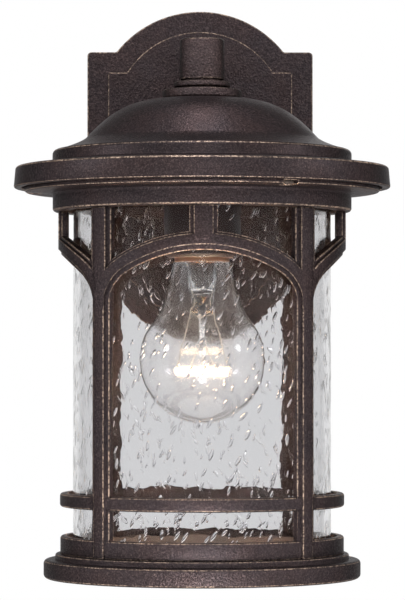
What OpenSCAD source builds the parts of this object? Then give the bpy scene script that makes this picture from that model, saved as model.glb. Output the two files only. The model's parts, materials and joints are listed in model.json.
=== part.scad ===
// Outdoor wall lantern with a cast cage, a seeded glass cylinder and one bulb that hangs cap up.
// The origin lies on the wall in the middle of the back plate, +Z is up and the front faces -Y.

/* [Back plate] */
// Width of the back plate
plate_w = 114.3; // [110:0.1:124]
// Height of the plate between its shoulders
plate_shoulder_h = 125.4; // [118:0.1:136]
// Height from the middle of the plate to the crown of each arch
plate_crown_h = 83.3; // [80:0.1:92]
// Radius of the arch at each end
plate_arch_r = 54; // [48:0.5:55]
// Radius of the four outer corners
plate_corner_r = 2; // [1:0.1:4]
// Distance from the wall to the flat border
plate_border_d = 17.4; // [16:0.1:22]
// Width of the flat border
plate_border_w = 10.5; // [8:0.1:14]
// Height of the raised panel above the border
panel_rise = 2; // [1:0.1:4]
// Thickness of the cast wall
plate_wall = 2.6; // [2:0.1:3.6]
// Thickness of the foam gasket on the wall
wall_gasket_t = 2; // [1:0.1:3]
// Width of the foam gasket
wall_gasket_w = 5; // [3:0.1:8]

/* [Mounting plate] */
// Distance from a slot's middle to the end of the upright arm
slot_end = 10.3; // [9:0.1:14]
// Distance from a stud's middle to the end of the level arm
stud_end = 8; // [6:0.5:12]
// Width of both arms
strap_arm_w = 19; // [16:0.5:24]
// Thickness of the sheet
strap_t = 2; // [1.6:0.1:3]
// Distance between the middles of the two box screw slots
slot_spacing = 79.4; // [74:0.1:84]
// End to end length of a slot
slot_len = 14; // [10:0.1:17]
// Width of a slot
slot_w = 4.8; // [4.4:0.1:5.4]
// Distance between the two studs
stud_spacing = 72; // [64:0.5:76]
// Radius of a stud
stud_r = 2; // [1.6:0.1:2.4]
// Radius of the round cap nuts
cap_nut_r = 5.2; // [4.4:0.1:6]
// Distance from the middle down to the ground screw
ground_screw_drop = 26; // [22:1:28]
// Radius of the ground screw's head
ground_head_r = 4.2; // [3.4:0.1:5]

/* [Arm] */
// Height of the arm's centre line
arm_z = 49; // [48.6:0.1:49.6]
// Radius of the arm
arm_r = 8.4; // [7.6:0.1:9]
// Radius of the upright hub
hub_r = 10.6; // [10:0.1:12]
// Height of the hub's bottom edge
hub_z = 39.5; // [39.2:0.1:40]
// Height of the hub
hub_h = 19.5; // [19:0.1:24]
// Radius of the hub's top edge
hub_edge = 1.4; // [0.6:0.1:2.4]
// Radius of the threaded tube that carries the lantern
nipple_r = 4.9; // [4.6:0.1:5.4]
// Radius of the wire way through tube and arm
wire_way_r = 3.6; // [3.3:0.1:3.8]
// Radius of the neck ring under the hub
neck_ring_r = 13.4; // [12.4:0.1:15]
// Height of the neck ring's disc
neck_ring_h = 2.7; // [2:0.1:4]
// Radius of the collar that sits on the roof
collar_r = 18.8; // [17.5:0.1:22]
// Height of the collar's disc
collar_h = 4.3; // [3:0.1:6]
// Height of the recessed steps between hub, ring and collar
neck_gap = 1.1; // [0.6:0.1:1.6]

/* [Roof] */
// How far the brim stands out past the ring under it
brim_overhang = 17.7; // [16.5:0.1:22]
// Distance from the wall to the back of the brim
brim_gap = 24.7; // [22:0.1:34]
// How far the brim widens towards its lower edge
brim_draft = 0.7; // [0:0.1:1.6]
// Height of the brim's lower edge below the middle of the plate
brim_drop = 12.3; // [11.8:0.1:12.6]
// Height of the brim's top at its outer edge below the middle of the plate
brim_top_drop = 2.2; // [1.4:0.1:3]
// Radius of the brim's top and bottom edges
brim_edge = 1.8; // [1:0.1:2]
// Thickness of the brim's lip
lip_t = 3.7; // [3:0.1:4.2]
// Width of the brim outside the step
brim_top_w = 17.6; // [16:0.1:20]
// Height of the step's foot below the middle of the plate
step_drop = 0.5; // [0:0.1:1]
// Height of the step's rounded upper corner
step_top = 6.6; // [6:0.1:7.4]
// Width of the flare between dome and step
flare_w = 16; // [14:0.5:19]
// Height of that turn
dome_turn = 11.6; // [10.5:0.1:13]
// Height of the dome's crown
dome_top = 31; // [30:0.1:32]
// Thickness of the roof
roof_wall = 2.5; // [2:0.1:3]

/* [Cage] */
// Inner radius of the cage
cage_in_r = 63.7; // [62.8:0.1:65]
// Thickness of the cage at the raised faces of posts, arches and keystones
cage_wall = 4.5; // [4.1:0.1:5.3]
// Depth of the low ledge round each window under the raised faces
ledge_step = 1.4; // [1:0.1:2]
// Rise of a window's arch
arch_rise = 27.1; // [25:0.1:29]
// Height of the springing line below the middle of the plate
spring_drop = 68.5; // [66:0.5:74]
// Width of the raised arch
arch_w = 5.2; // [4:0.1:6]
// Width of the ledge inside each window's edge
ledge_w = 2.4; // [1.8:0.1:3]
// Width of the ledge above the arch
ledge_top_w = 1.1; // [0.6:0.1:2]
// Width of the raised face of a post below the arches
post_w = 6.6; // [5.4:0.1:7.6]
// Width of the raised face of a post above the arches
post_head_w = 8.6; // [7.4:0.1:9.6]
// Width of a keystone's raised face
keystone_w = 9; // [7:0.1:12]
// Width of the ledge on each side of a keystone
keystone_ledge_w = 2; // [1:0.1:3]
// Depth of the round band under the raised faces
band_step = 0.9; // [0.4:0.1:1.2]
// Height of the band
band_h = 6.5; // [5:0.1:8]
// Radius of the band's edges
band_edge = 1.4; // [0.8:0.1:1.8]
// Height of the lowest windows, between band and sill
low_window_h = 13.7; // [10:0.1:20]
// Depth of the sill under the raised faces
sill_step = 1.1; // [0.4:0.1:1.3]
// Height of the sill's top below the middle of the plate
sill_drop = 176.6; // [174:0.1:178]
// Height of the sill
sill_h = 8.3; // [6:0.1:10]

/* [Top ring] */
// Gap between the flange and the brim's lip
flange_gap = 0.7; // [0.5:0.1:1.4]
// Thickness of the flange
flange_t = 3; // [2.6:0.1:3.4]
// Height of the flange's top below the middle of the plate
flange_drop = 11.3; // [10.8:0.1:11.6]
// How far the ring that caps the cage stands out past the raised faces
ring_overhang = 2.7; // [1.6:0.1:3.8]
// Height of the ring's lower face below the middle of the plate
ring_drop = 23.4; // [22.4:0.1:24.4]
// Distance from the flange's edge to the three cage screws
cage_screw_inset = 4.2; // [3.8:0.1:4.6]
// Direction of the first cage screw, from the right towards the back
cage_screw_turn = -62; // [-70:1:-55]
// Radius of the cage screws
cage_screw_r = 1.9; // [1.5:0.1:2.1]
// Radius of the cage screws' heads
cage_head_r = 3.3; // [3:0.1:3.5]

/* [Foot] */
// How far the foot's slab stands out past the middle step
foot_overhang = 5.5; // [3:0.1:9.5]
// How far the middle step stands out past the raised faces
foot_step_w = 1.3; // [0.8:0.1:2.3]
// Height of the middle step
foot_step_h = 2.8; // [2:0.1:4]
// Height of the slab
foot_h = 8.9; // [8:0.1:12]
// Radius of the slab's edges
foot_edge = 2; // [1:0.1:3]
// How far the foot reaches inwards past the glass
foot_lip = 1.2; // [0.8:0.1:3]
// Radius of the screws that join cage and rings
join_screw_r = 1.2; // [1:0.05:1.3]
// Distance from the cage's inner wall to the screws in the posts
join_screw_inset = 2.5; // [2.4:0.05:2.7]
// How far a screw reaches into a post
join_screw_grip = 10; // [8:0.5:14]

/* [Glass] */
// Room for the rubber between the glass and the cage's inner wall
glass_seat = 2.5; // [2.3:0.1:3.1]
// Thickness of the glass
glass_t = 3; // [2.4:0.1:3.4]
// Thickness of the rubber under and over the glass
rubber_t = 1.5; // [1:0.1:2]
// Height of the rubber channels
rubber_h = 5; // [4:0.1:6]
// Width of the clips that hold the glass down
clip_w = 9; // [7:0.5:14]
// Thickness of the clips
clip_t = 1.2; // [0.8:0.1:2]

/* [Socket] */
// Height of the socket's top below the middle of the plate
socket_drop = 8; // [6:0.1:9]
// Height of the socket's body
socket_h = 37.5; // [36.5:0.1:38]
// Outer radius of the socket's body
socket_r = 18; // [17:0.1:20]
// Inner radius of the screw shell
shell_r = 13.4; // [13.3:0.05:13.6]
// Thickness of the screw shell
shell_t = 0.4; // [0.3:0.05:0.6]
// Radius of the shell's turned lip
shell_lip_r = 15.2; // [14.6:0.1:16.4]
// Width of the bracket that carries the socket
bracket_w = 14; // [13:0.5:16]
// Length of the bracket across the socket
bracket_span = 34; // [32:0.5:36]
// Thickness of the bracket
bracket_t = 1.5; // [1.2:0.1:2]
// Radius of an insulated lead
lead_r = 1.1; // [0.8:0.05:1.2]
// Distance between the two leads in the wire way
lead_pitch = 2.8; // [2.6:0.05:3]
// Distance between the two terminal screws
terminal_pitch = 18; // [16:0.5:20]

/* [Bulb] */
// Radius of the bulb's round end
bulb_r = 29.9; // [28:0.1:32]
// Length of the whole bulb
bulb_len = 103.6; // [100:0.1:108]
// Radius of the glass where it leaves the cap
bulb_neck_r = 13.6; // [13.5:0.1:14.4]
// Length of the cap with insulator and contact
cap_len = 27; // [26.5:0.1:27.5]
// Radius of the cap's thread crests
cap_r = 13.05; // [12.9:0.05:13.15]
// Depth of the cap's rolled thread
cap_thread_depth = 0.7; // [0.4:0.05:0.9]
// Rise of the thread in one turn
cap_pitch = 3.629; // [3.4:0.001:3.8]
// Thickness of the bulb's glass
bulb_glass_t = 0.7; // [0.5:0.05:1]
// Length of the filament
filament_len = 25; // [20:0.5:30]
// Height of the filament below the cap's rim
filament_drop = 52; // [50:0.5:56]

/* [Fits] */
// Gap round threads and shanks
thread_gap = 0.05; // [0.03:0.01:0.1]
// Gap between parts that drop into each other
slip_gap = 0.2; // [0.1:0.05:0.3]
// Gap where a screw passes a clearance hole
pass_gap = 0.35; // [0.2:0.05:0.5]
// Gap between the lamp's contact and the socket's tongue
contact_gap = 0.3; // [0.2:0.05:0.4]

/* [Hidden] */
$fn = 96;
eps = 0.01;
cut = 1;
bite = 0.5;

bronze = [0.24, 0.20, 0.20];
steel = [0.72, 0.72, 0.70];
brass = [0.80, 0.62, 0.32];
copper = [0.78, 0.45, 0.28];
phenolic = [0.17, 0.06, 0.05];

// Main radii
post_mid = 45;
face_r = cage_in_r + cage_wall;
ledge_r = face_r - ledge_step;
band_r = face_r - band_step;
sill_r = face_r - sill_step;
ring_r = face_r + ring_overhang;
brim_r = ring_r + brim_overhang;
foot_step_r = face_r + foot_step_w;
foot_r = foot_step_r + foot_overhang;
glass_r = cage_in_r - glass_seat;
glass_in_r = glass_r - glass_t;
foot_bore_r = glass_in_r - foot_lip;
join_screw_pcr = cage_in_r + join_screw_inset;
axis_d = brim_r + brim_draft + brim_gap;
step_r = brim_r - brim_top_w;
dome_r = step_r - flare_w;
flange_r = brim_r - lip_t - flange_gap;
cage_screw_pcr = flange_r - cage_screw_inset;

// Back plate and mounting plate
strap_h = slot_spacing + 2 * slot_end;
strap_w = stud_spacing + 2 * stud_end;
plate_front = plate_border_d + panel_rise;
panel_back = plate_front - plate_wall;
arch_centre = plate_crown_h - plate_arch_r;
cap_nut_h = 2 * cap_nut_r - 1.4;
cap_nut_neck_r = 0.72 * cap_nut_r;
stud_len = plate_front + cap_nut_h / 2;
ground_head_h = 2.6;
lug_t = 0.8;
ground_wire_r = 0.8;

// Arm, hub and neck
arm_nut_h = 4;
arm_nut_r = 8.2;
washer_t = 1.2;
washer_r = 8.6;
spigot_end = panel_back - washer_t - lug_t - arm_nut_h - 1;
hub_top = hub_z + hub_h;
neck_step_r = hub_r - 1.6;
ring_top = hub_z - neck_gap;
ring_bottom = ring_top - neck_ring_h;
ring_step_r = neck_ring_r - 2;
collar_top = ring_bottom - neck_gap;
collar_bottom = collar_top - collar_h;
nipple_top = arm_z - 4.5;
chamber_r = 4.4;
chamber_top = arm_z + 4.6;

// Roof
seat_r = collar_r - 1;
roof_hole_r = nipple_r + pass_gap;
roof_in_top = collar_bottom - roof_wall;
roof_nut_top = roof_in_top - washer_t;
bracket_top = roof_nut_top - arm_nut_h;
bracket_nut_top = bracket_top - bracket_t;
nipple_bottom = bracket_nut_top - arm_nut_h - 1;
boss_bite = 0.7;
boss_r = flange_gap + cage_screw_inset + boss_bite;
boss_top = 0.3 - step_drop - roof_wall;
step_edge = 2.2;
step_fillet = 0.8;
brim_foot_edge = 1;
cage_screw_len = 7;
cage_head_h = 1.5;
head_recess = 1.7;
crown_drop = 1.4;
dome_curve = [[seat_r, collar_bottom], [0.62 * dome_r, dome_top - crown_drop],
              [0.782 * dome_r, dome_turn + 13], [dome_r, dome_turn]];
flare_curve = [[dome_r, dome_turn], [dome_r + 1.5, dome_turn - 1.6],
               [step_r - 0.56 * flare_w, step_top + 1], [step_r - step_edge - 0.4, step_top]];

// Cage
post_half = asin(post_w / 2 / face_r);
post_head_half = asin(post_head_w / 2 / face_r);
window_half = face_r * sin(post_mid - post_half) + eps;
arch_diag = sqrt(pow(window_half, 2) + pow(arch_rise, 2));
haunch_r = arch_diag * (arch_diag - window_half + arch_rise) / (2 * window_half);
crown_r = (pow(window_half, 2) - 2 * window_half * haunch_r + pow(arch_rise, 2))
        / (2 * (arch_rise - haunch_r));
frame_top = -ring_drop;
sill_bottom = -sill_drop - sill_h;
band_bottom = low_window_h - sill_drop;
band_top = band_bottom + band_h;

// Foot and glass
foot_top = sill_bottom;
slab_top = foot_top - foot_step_h;
foot_bottom = slab_top - foot_h;
join_head_r = 2 * join_screw_r - 0.3;
join_head_h = 1.8;
join_sink = 0.4;
foot_sink = 0.6;
foot_head_top = foot_bottom + foot_sink + join_head_h;
sill_edge = 1.2;
foot_step_edge = 1;
glass_bottom = foot_top + rubber_t;
rubber_top = -flange_drop - slip_gap / 2;
glass_top = rubber_top - rubber_t;
clip_screw_pcr = (cage_in_r + ring_r) / 2;
clip_head_h = 1.4;
clip_screw_len = 4;
clip_reach = 1;
clip_tail = 4;

// Socket and bulb
socket_top = -socket_drop;
socket_bottom = socket_top - socket_h;
socket_in_r = shell_r + shell_t + thread_gap;
lip_bottom = socket_bottom - 2 * shell_t;
cap_rim = lip_bottom - 0.8;
cap_tip = cap_rim + cap_len;
tongue_tip = cap_tip + contact_gap;
tongue_t = 0.6;
socket_roof = tongue_tip + 2.2;
cap_t = 0.5;
contact_h = 1.1;
insulator_h = 3.3;
cap_shell_top = cap_tip - contact_h - insulator_h;
insulator_r = 9;
contact_r = 4.6;
bulb_bottom = cap_tip - bulb_len;
bulb_z = bulb_bottom + bulb_r;
neck_tube_r = cap_r - cap_thread_depth - cap_t - 0.1;
stem_r = 4.2;
stem_bottom = cap_rim - 10.5;
press_bottom = cap_rim - 19.5;
filament_z = cap_rim - filament_drop;
blend_a = 42;
blend_at = [bulb_r * cos(blend_a), bulb_z + bulb_r * sin(blend_a)];
neck_curve = [blend_at, blend_at + 5.4 * [-sin(blend_a), cos(blend_a)],
              [bulb_neck_r + 3.2, cap_rim - 13], [bulb_neck_r, cap_rim - 0.4]];
rod_r = 1.1;
bead_r = 1.6 * rod_r;
hook_span = filament_len / 5;
rod_gap = 14;
rod_bottom = filament_z + rod_gap;
bulb_wire_r = 0.35;
filament_r = 0.45;
terminal_r = 1.9;
terminal_len = 4;
terminal_head_r = 2.8;
terminal_head_h = 1.8;
bracket_screw_len = 7;
bracket_head_r = 3.4;
bracket_head_h = 2;
tongue_disc_r = 6;
tongue_tip_r = 3;
bracket_foot = 9;
bracket_screw_x = bracket_span / 2 - bracket_t - bracket_foot / 2;
lead_bend = 3.4;
connector_r = 4.6;
connector_len = 20;
connector_x = 15;
connector_y = 5.6;
connector_bore = 9;
ground_bow = 26;
ground_tab = 5;

// Points of an arc round c, from angle a0 to angle a1
function arc(c, r, a0, a1, n = 6) =
    [for (i = [0 : n]) let (a = a0 + (a1 - a0) * i / n) c + r * [cos(a), sin(a)]];

// Point, direction and run of a cubic curve
function bez(p, t) = pow(1 - t, 3) * p[0] + 3 * t * pow(1 - t, 2) * p[1]
                   + 3 * t * t * (1 - t) * p[2] + pow(t, 3) * p[3];
function bez_dir(p, t) = pow(1 - t, 2) * (p[1] - p[0]) + 2 * t * (1 - t) * (p[2] - p[1])
                       + t * t * (p[3] - p[2]);
function bez_run(p, n, d = 0) =
    [for (i = [0 : n]) let (t = i / n, v = bez_dir(p, t)) bez(p, t) - d * [-v[1], v[0]] / norm(v)];
function flip(list) = [for (i = [len(list) - 1 : -1 : 0]) list[i]];
function rest(list) = [for (i = [1 : len(list) - 1]) list[i]];

// Moves its children onto the lantern's axis
module on_axis() {
    translate([0, -axis_d, 0]) children();
}

// Turned solid from a profile of radius and height
module turned(points) {
    on_axis() rotate_extrude() polygon(points);
}

// Tube round the lantern's axis
module axis_tube(r_out, r_in, z0, z1) {
    on_axis() translate([0, 0, z0]) difference() {
        cylinder(r = r_out, h = z1 - z0);
        translate([0, 0, -1]) cylinder(r = r_in, h = z1 - z0 + 2);
    }
}

// Outline drawn on the wall, pushed forward from depth d0 to depth d1
module forward(d0, d1) {
    translate([0, -d0, 0]) rotate([90, 0, 0]) linear_extrude(height = d1 - d0) children();
}

// Round bar that runs forward from depth d0 to depth d1
module forward_rod(r, d0, d1, x = 0, z = 0) {
    translate([x, -d0, z]) rotate([90, 0, 0]) cylinder(r = r, h = d1 - d0);
}

// Hexagonal nut on the lantern's axis
module axis_nut(z0, h) {
    on_axis() translate([0, 0, z0]) difference() {
        cylinder(r = arm_nut_r, h = h, $fn = 6);
        translate([0, 0, -1]) cylinder(r = nipple_r + thread_gap, h = h + 2);
    }
}

// ---- Back plate ----

module rounded_square(w, h, r) {
    square([w, h - 2 * r], center = true);
    square([w - 2 * r, h], center = true);
    for (x = [-1, 1])
        for (y = [-1, 1])
            translate([x * (w / 2 - r), y * (h / 2 - r)]) circle(r = r);
}

// Outline of the plate, inset on all sides
module plate_outline(inset) {
    corner = max(plate_corner_r - inset / 8, 0.5);
    rounded_square(plate_w - 2 * inset, plate_shoulder_h - 2 * inset, corner);
    for (s = [-1, 1])
        translate([0, s * arch_centre]) circle(r = plate_arch_r - inset);
}

module stud_places() {
    for (s = [-1, 1])
        translate([s * stud_spacing / 2, 0, 0]) children();
}

module wall_gasket() {
    inset = 0.4;
    color([0.12, 0.12, 0.12]) forward(0, wall_gasket_t) difference() {
        plate_outline(inset);
        plate_outline(inset + wall_gasket_w);
    }
}

module backplate() {
    color(bronze) difference() {
        union() {
            forward(wall_gasket_t, plate_border_d) plate_outline(0);
            forward(plate_border_d - 1, plate_front) plate_outline(plate_border_w);
        }
        forward(0, plate_border_d - plate_wall) plate_outline(plate_wall);
        forward(0, panel_back) plate_outline(plate_border_w + plate_wall);
        stud_places() forward_rod(stud_r + pass_gap, panel_back - 1, plate_front + 1);
        forward_rod(nipple_r + pass_gap, panel_back - 1, plate_front + 1, z = arm_z);
    }
}

module slot_outline() {
    square([slot_w, slot_len - slot_w], center = true);
    for (s = [-1, 1])
        translate([0, s * (slot_len - slot_w) / 2]) circle(d = slot_w);
}

module mounting_plate() {
    color(steel) forward(0, strap_t) difference() {
        union() {
            square([strap_arm_w, strap_h], center = true);
            square([strap_w, strap_arm_w], center = true);
        }
        for (s = [-1, 1])
            translate([0, s * slot_spacing / 2]) slot_outline();
        for (s = [-1, 1])
            translate([s * stud_spacing / 2, 0]) circle(r = stud_r + thread_gap);
        translate([0, -ground_screw_drop]) circle(r = stud_r + thread_gap);
    }
}

module mounting_studs() {
    color(steel) stud_places() forward_rod(stud_r, 0, stud_len);
}

module cap_nuts() {
    color(bronze) stud_places() translate([0, -plate_front, 0]) rotate([90, 0, 0]) difference() {
        union() {
            cylinder(r = cap_nut_neck_r, h = cap_nut_r);
            intersection() {
                translate([0, 0, cap_nut_h - cap_nut_r]) sphere(r = cap_nut_r);
                cylinder(r = cap_nut_r + 1, h = cap_nut_h + 1);
            }
        }
        translate([0, 0, -1]) cylinder(r = stud_r + thread_gap, h = cap_nut_h / 2 + 1.5);
    }
}

module ground_screw() {
    head_d = strap_t + lug_t;
    color([0.15, 0.55, 0.25]) union() {
        forward_rod(stud_r, 0, head_d + 0.5, z = -ground_screw_drop);
        forward_rod(ground_head_r, head_d, head_d + ground_head_h, z = -ground_screw_drop);
    }
}

// ---- Arm and neck ----

module arm() {
    color(bronze) difference() {
        union() {
            turned(concat([[0, hub_z], [hub_r, hub_z]],
                          arc([hub_r - hub_edge, hub_top - hub_edge], hub_edge, 0, 90),
                          [[0, hub_top]]));
            forward_rod(arm_r, plate_front, axis_d, z = arm_z);
            forward_rod(nipple_r, spigot_end, axis_d, z = arm_z);
        }
        on_axis() translate([0, 0, hub_z - 1])
            cylinder(r = nipple_r + thread_gap, h = nipple_top - hub_z + 1 + slip_gap);
        on_axis() translate([0, 0, nipple_top - 1])
            cylinder(r = chamber_r, h = chamber_top - nipple_top + 1);
        forward_rod(wire_way_r, spigot_end - 1, axis_d, z = arm_z);
    }
}

module plate_ring(r_out, d0, d1, r_in) {
    forward(d0, d1) translate([0, arm_z]) difference() {
        circle(r = r_out);
        circle(r = r_in);
    }
}

module arm_lock_washer() {
    color(steel) plate_ring(washer_r, panel_back - washer_t, panel_back, nipple_r + slip_gap);
}

module arm_nut() {
    nut_d = panel_back - washer_t - lug_t;
    color(steel) translate([0, -nut_d, arm_z]) rotate([-90, 0, 0]) difference() {
        cylinder(r = arm_nut_r, h = arm_nut_h, $fn = 6);
        translate([0, 0, -1]) cylinder(r = nipple_r + thread_gap, h = arm_nut_h + 2);
    }
}

module hub_nipple() {
    color(brass) axis_tube(nipple_r, wire_way_r, nipple_bottom, nipple_top);
}

// Turned disc with a recessed step on top
module neck_disc(r, step_r, bottom, top) {
    edge = 0.9;
    color(bronze) turned(concat([[nipple_r + pass_gap, bottom]],
                                arc([r - edge, bottom + edge], edge, -90, 0),
                                arc([r - edge, top - edge], edge, 0, 90),
                                [[step_r, top], [step_r, top + neck_gap],
                                 [nipple_r + pass_gap, top + neck_gap]]));
}

module neck_ring() {
    neck_disc(neck_ring_r, neck_step_r, ring_bottom, ring_top);
}

module neck_collar() {
    neck_disc(collar_r, ring_step_r, collar_bottom, collar_top);
}

// ---- Roof ----

function roof_outside() = concat(
    [[roof_hole_r, collar_bottom]],
    bez_run(dome_curve, 14),
    rest(bez_run(flare_curve, 8)),
    arc([step_r - step_edge, step_top - step_edge], step_edge, 80, 0, 5),
    arc([step_r + step_fillet, step_fillet - step_drop], step_fillet, 180, 265, 3),
    arc([brim_r - brim_edge, -brim_top_drop - brim_edge], brim_edge, 80, 2, 5),
    arc([brim_r + brim_draft - brim_foot_edge, brim_foot_edge - brim_drop], brim_foot_edge,
        0, -90, 4));

function roof_inside() = concat(
    [[brim_r + brim_draft - lip_t, -brim_drop],
     [brim_r - lip_t, -brim_top_drop - roof_wall],
     [step_r - roof_wall, -step_drop - roof_wall],
     [step_r - roof_wall, step_top - step_edge - roof_wall / 2]],
    flip(bez_run(flare_curve, 8, roof_wall)),
    rest(flip(bez_run(dome_curve, 14, roof_wall))),
    [[roof_hole_r, roof_in_top]]);

module cage_screw_places(r = cage_screw_pcr) {
    on_axis()
        for (i = [0 : 2])
            rotate([0, 0, cage_screw_turn + i * 120]) translate([r, 0, 0]) children();
}

module roof() {
    color(bronze) difference() {
        union() {
            turned(concat(roof_outside(), roof_inside()));
            intersection() {
                cage_screw_places() translate([0, 0, -flange_drop])
                    cylinder(r = boss_r, h = boss_top + flange_drop);
                on_axis() translate([0, 0, -flange_drop])
                    cylinder(r = brim_r - cut, h = boss_top + flange_drop);
            }
        }
        cage_screw_places() translate([0, 0, -flange_drop - cut])
            cylinder(r = cage_screw_r + thread_gap, h = cage_screw_len);
    }
}

module roof_washer() {
    color(steel) axis_tube(washer_r, nipple_r + slip_gap, roof_nut_top, roof_in_top);
}

module roof_nut() {
    color(steel) axis_nut(bracket_top, arm_nut_h);
}

module cage_screws() {
    head_top = -flange_drop - flange_t + head_recess;
    color(bronze) cage_screw_places() union() {
        translate([0, 0, head_top - cage_head_h]) cylinder(r = cage_head_r, h = cage_head_h);
        translate([0, 0, head_top - eps]) cylinder(r = cage_screw_r, h = cage_screw_len);
    }
}

// ---- Socket ----

module bracket_screw_places() {
    on_axis()
        for (s = [-1, 1])
            translate([s * bracket_screw_x, 0, 0]) children();
}

module terminal_places() {
    on_axis()
        for (s = [-1, 1])
            translate([0, s * terminal_pitch / 2, 0]) children();
}

module socket_bracket() {
    foot_w = bracket_foot + bracket_t;
    color(steel) difference() {
        on_axis() union() {
            translate([-bracket_span / 2, -bracket_w / 2, bracket_top - bracket_t])
                cube([bracket_span, bracket_w, bracket_t]);
            for (side = [0, 1]) mirror([side, 0, 0]) {
                translate([bracket_span / 2 - bracket_t, -bracket_w / 2, socket_top])
                    cube([bracket_t, bracket_w, bracket_top - socket_top]);
                translate([bracket_span / 2 - foot_w, -bracket_w / 2, socket_top])
                    cube([foot_w, bracket_w, bracket_t]);
            }
        }
        on_axis() translate([0, 0, bracket_top - bracket_t - 1])
            cylinder(r = nipple_r + slip_gap, h = bracket_t + 2);
        bracket_screw_places() translate([0, 0, socket_top - 1])
            cylinder(r = stud_r + slip_gap, h = bracket_t + 2);
    }
}

module bracket_nut() {
    color(steel) axis_nut(bracket_nut_top - arm_nut_h, arm_nut_h);
}

module bracket_screws() {
    color(steel) bracket_screw_places() union() {
        translate([0, 0, socket_top - bracket_screw_len])
            cylinder(r = stud_r, h = bracket_screw_len + bracket_t + bite);
        translate([0, 0, socket_top + bracket_t])
            cylinder(r = bracket_head_r, h = bracket_head_h);
    }
}

module socket_body() {
    chamfer = 1.6;
    color(phenolic) difference() {
        turned([[0, socket_top], [socket_r - chamfer, socket_top], [socket_r, socket_top - chamfer],
                [socket_r, socket_bottom + chamfer], [socket_r - chamfer, socket_bottom],
                [socket_in_r, socket_bottom], [socket_in_r, socket_roof], [0, socket_roof]]);
        bracket_screw_places() translate([0, 0, socket_top - bracket_screw_len - cut])
            cylinder(r = stud_r + thread_gap, h = bracket_screw_len + 2 * cut);
        terminal_places() translate([0, 0, socket_top - terminal_len - cut])
            cylinder(r = terminal_r + thread_gap, h = terminal_len + 2 * cut);
    }
}

module socket_shell() {
    color(copper) turned([[shell_r, lip_bottom], [shell_lip_r, lip_bottom],
                          [shell_lip_r, socket_bottom], [shell_r + shell_t, socket_bottom],
                          [shell_r + shell_t, socket_roof], [insulator_r, socket_roof],
                          [insulator_r, socket_roof - shell_t],
                          [shell_r, socket_roof - shell_t]]);
}

module socket_tongue() {
    color(brass) on_axis() union() {
        translate([0, 0, socket_roof - tongue_t]) cylinder(r = tongue_disc_r, h = tongue_t);
        translate([0, 0, tongue_tip])
            cylinder(r = tongue_tip_r, h = socket_roof - tongue_t - tongue_tip + eps);
    }
}

module terminal_screws() {
    color(brass) terminal_places() union() {
        translate([0, 0, socket_top - terminal_len])
            cylinder(r = terminal_r, h = terminal_len + bite);
        translate([0, 0, socket_top]) cylinder(r = terminal_head_r, h = terminal_head_h);
    }
}

// ---- Wires ----

// Directions along a route, and the side vector carried along it without a twist
function along(route) =
    [for (i = [0 : len(route) - 1])
        let (v = route[min(i + 1, len(route) - 1)] - route[max(i - 1, 0)]) v / norm(v)];
function carried(dirs, i, u) =
    let (v = u - (u * dirs[i]) * dirs[i], w = v / norm(v))
    i == len(dirs) - 1 ? [w] : concat([w], carried(dirs, i + 1, w));

// Wire with its middle on the points of a route
module tube(route, r, sides = 10) {
    dirs = along(route);
    first = abs(dirs[0][0]) < 0.9 ? [1, 0, 0] : [0, 1, 0];
    us = carried(dirs, 0, first);
    n = len(route);
    points = [for (i = [0 : n - 1]) for (k = [0 : sides - 1])
        let (a = 360 * k / sides) route[i] + r * (cos(a) * us[i] + sin(a) * cross(dirs[i], us[i]))];
    sleeve = [for (i = [0 : n - 2]) for (k = [0 : sides - 1]) let (j = (k + 1) % sides)
        [i * sides + k, (i + 1) * sides + k, (i + 1) * sides + j, i * sides + j]];
    start = [for (k = [0 : sides - 1]) k];
    end = [for (k = [sides - 1 : -1 : 0]) (n - 1) * sides + k];
    polyhedron(points, concat([start], sleeve, [end]));
}

// Lead from a terminal up through the tube, back through the arm and out to a connector
module lead(side) {
    shift = side * lead_pitch / 2;
    start_y = side * (terminal_pitch / 2 - terminal_head_r - lead_r - slip_gap);
    level = arm_z - shift;
    turn_r = lead_bend - shift;
    turn_z = level - turn_r;
    start = [0, start_y - axis_d, socket_top + thread_gap];
    neck = [0, shift - axis_d, nipple_bottom - 1];
    climb = [for (i = [0 : 8])
        bez([start, start + [0, 0, 11], neck - [0, 0, 11], neck], i / 8)];
    turn = [for (a = [0 : 15 : 90])
        [0, shift - axis_d + turn_r * (1 - cos(a)), turn_z + turn_r * sin(a)]];
    out_y = -connector_y - lead_bend;
    crook = [for (a = [0 : 15 : 90])
        [side * lead_bend * (1 - cos(a)), out_y + lead_bend * sin(a), level]];
    end = [side * (connector_x + connector_bore), -connector_y, level];
    tube(concat(climb, turn, crook, [end]), lead_r);
}

module lead_live() {
    color([0.08, 0.08, 0.08]) lead(1);
}

module lead_neutral() {
    color([0.92, 0.92, 0.90]) lead(-1);
}

// Flat ring with a tab that runs from its hole by the given length
module lug(d0, z, r_hole, r_ring, reach) {
    forward(d0, d0 + lug_t) translate([0, z]) difference() {
        union() {
            circle(r = r_ring);
            translate([-ground_wire_r - 0.6, min(reach, 0)])
                square([2 * ground_wire_r + 1.2, abs(reach)]);
        }
        circle(r = r_hole);
    }
}

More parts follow.
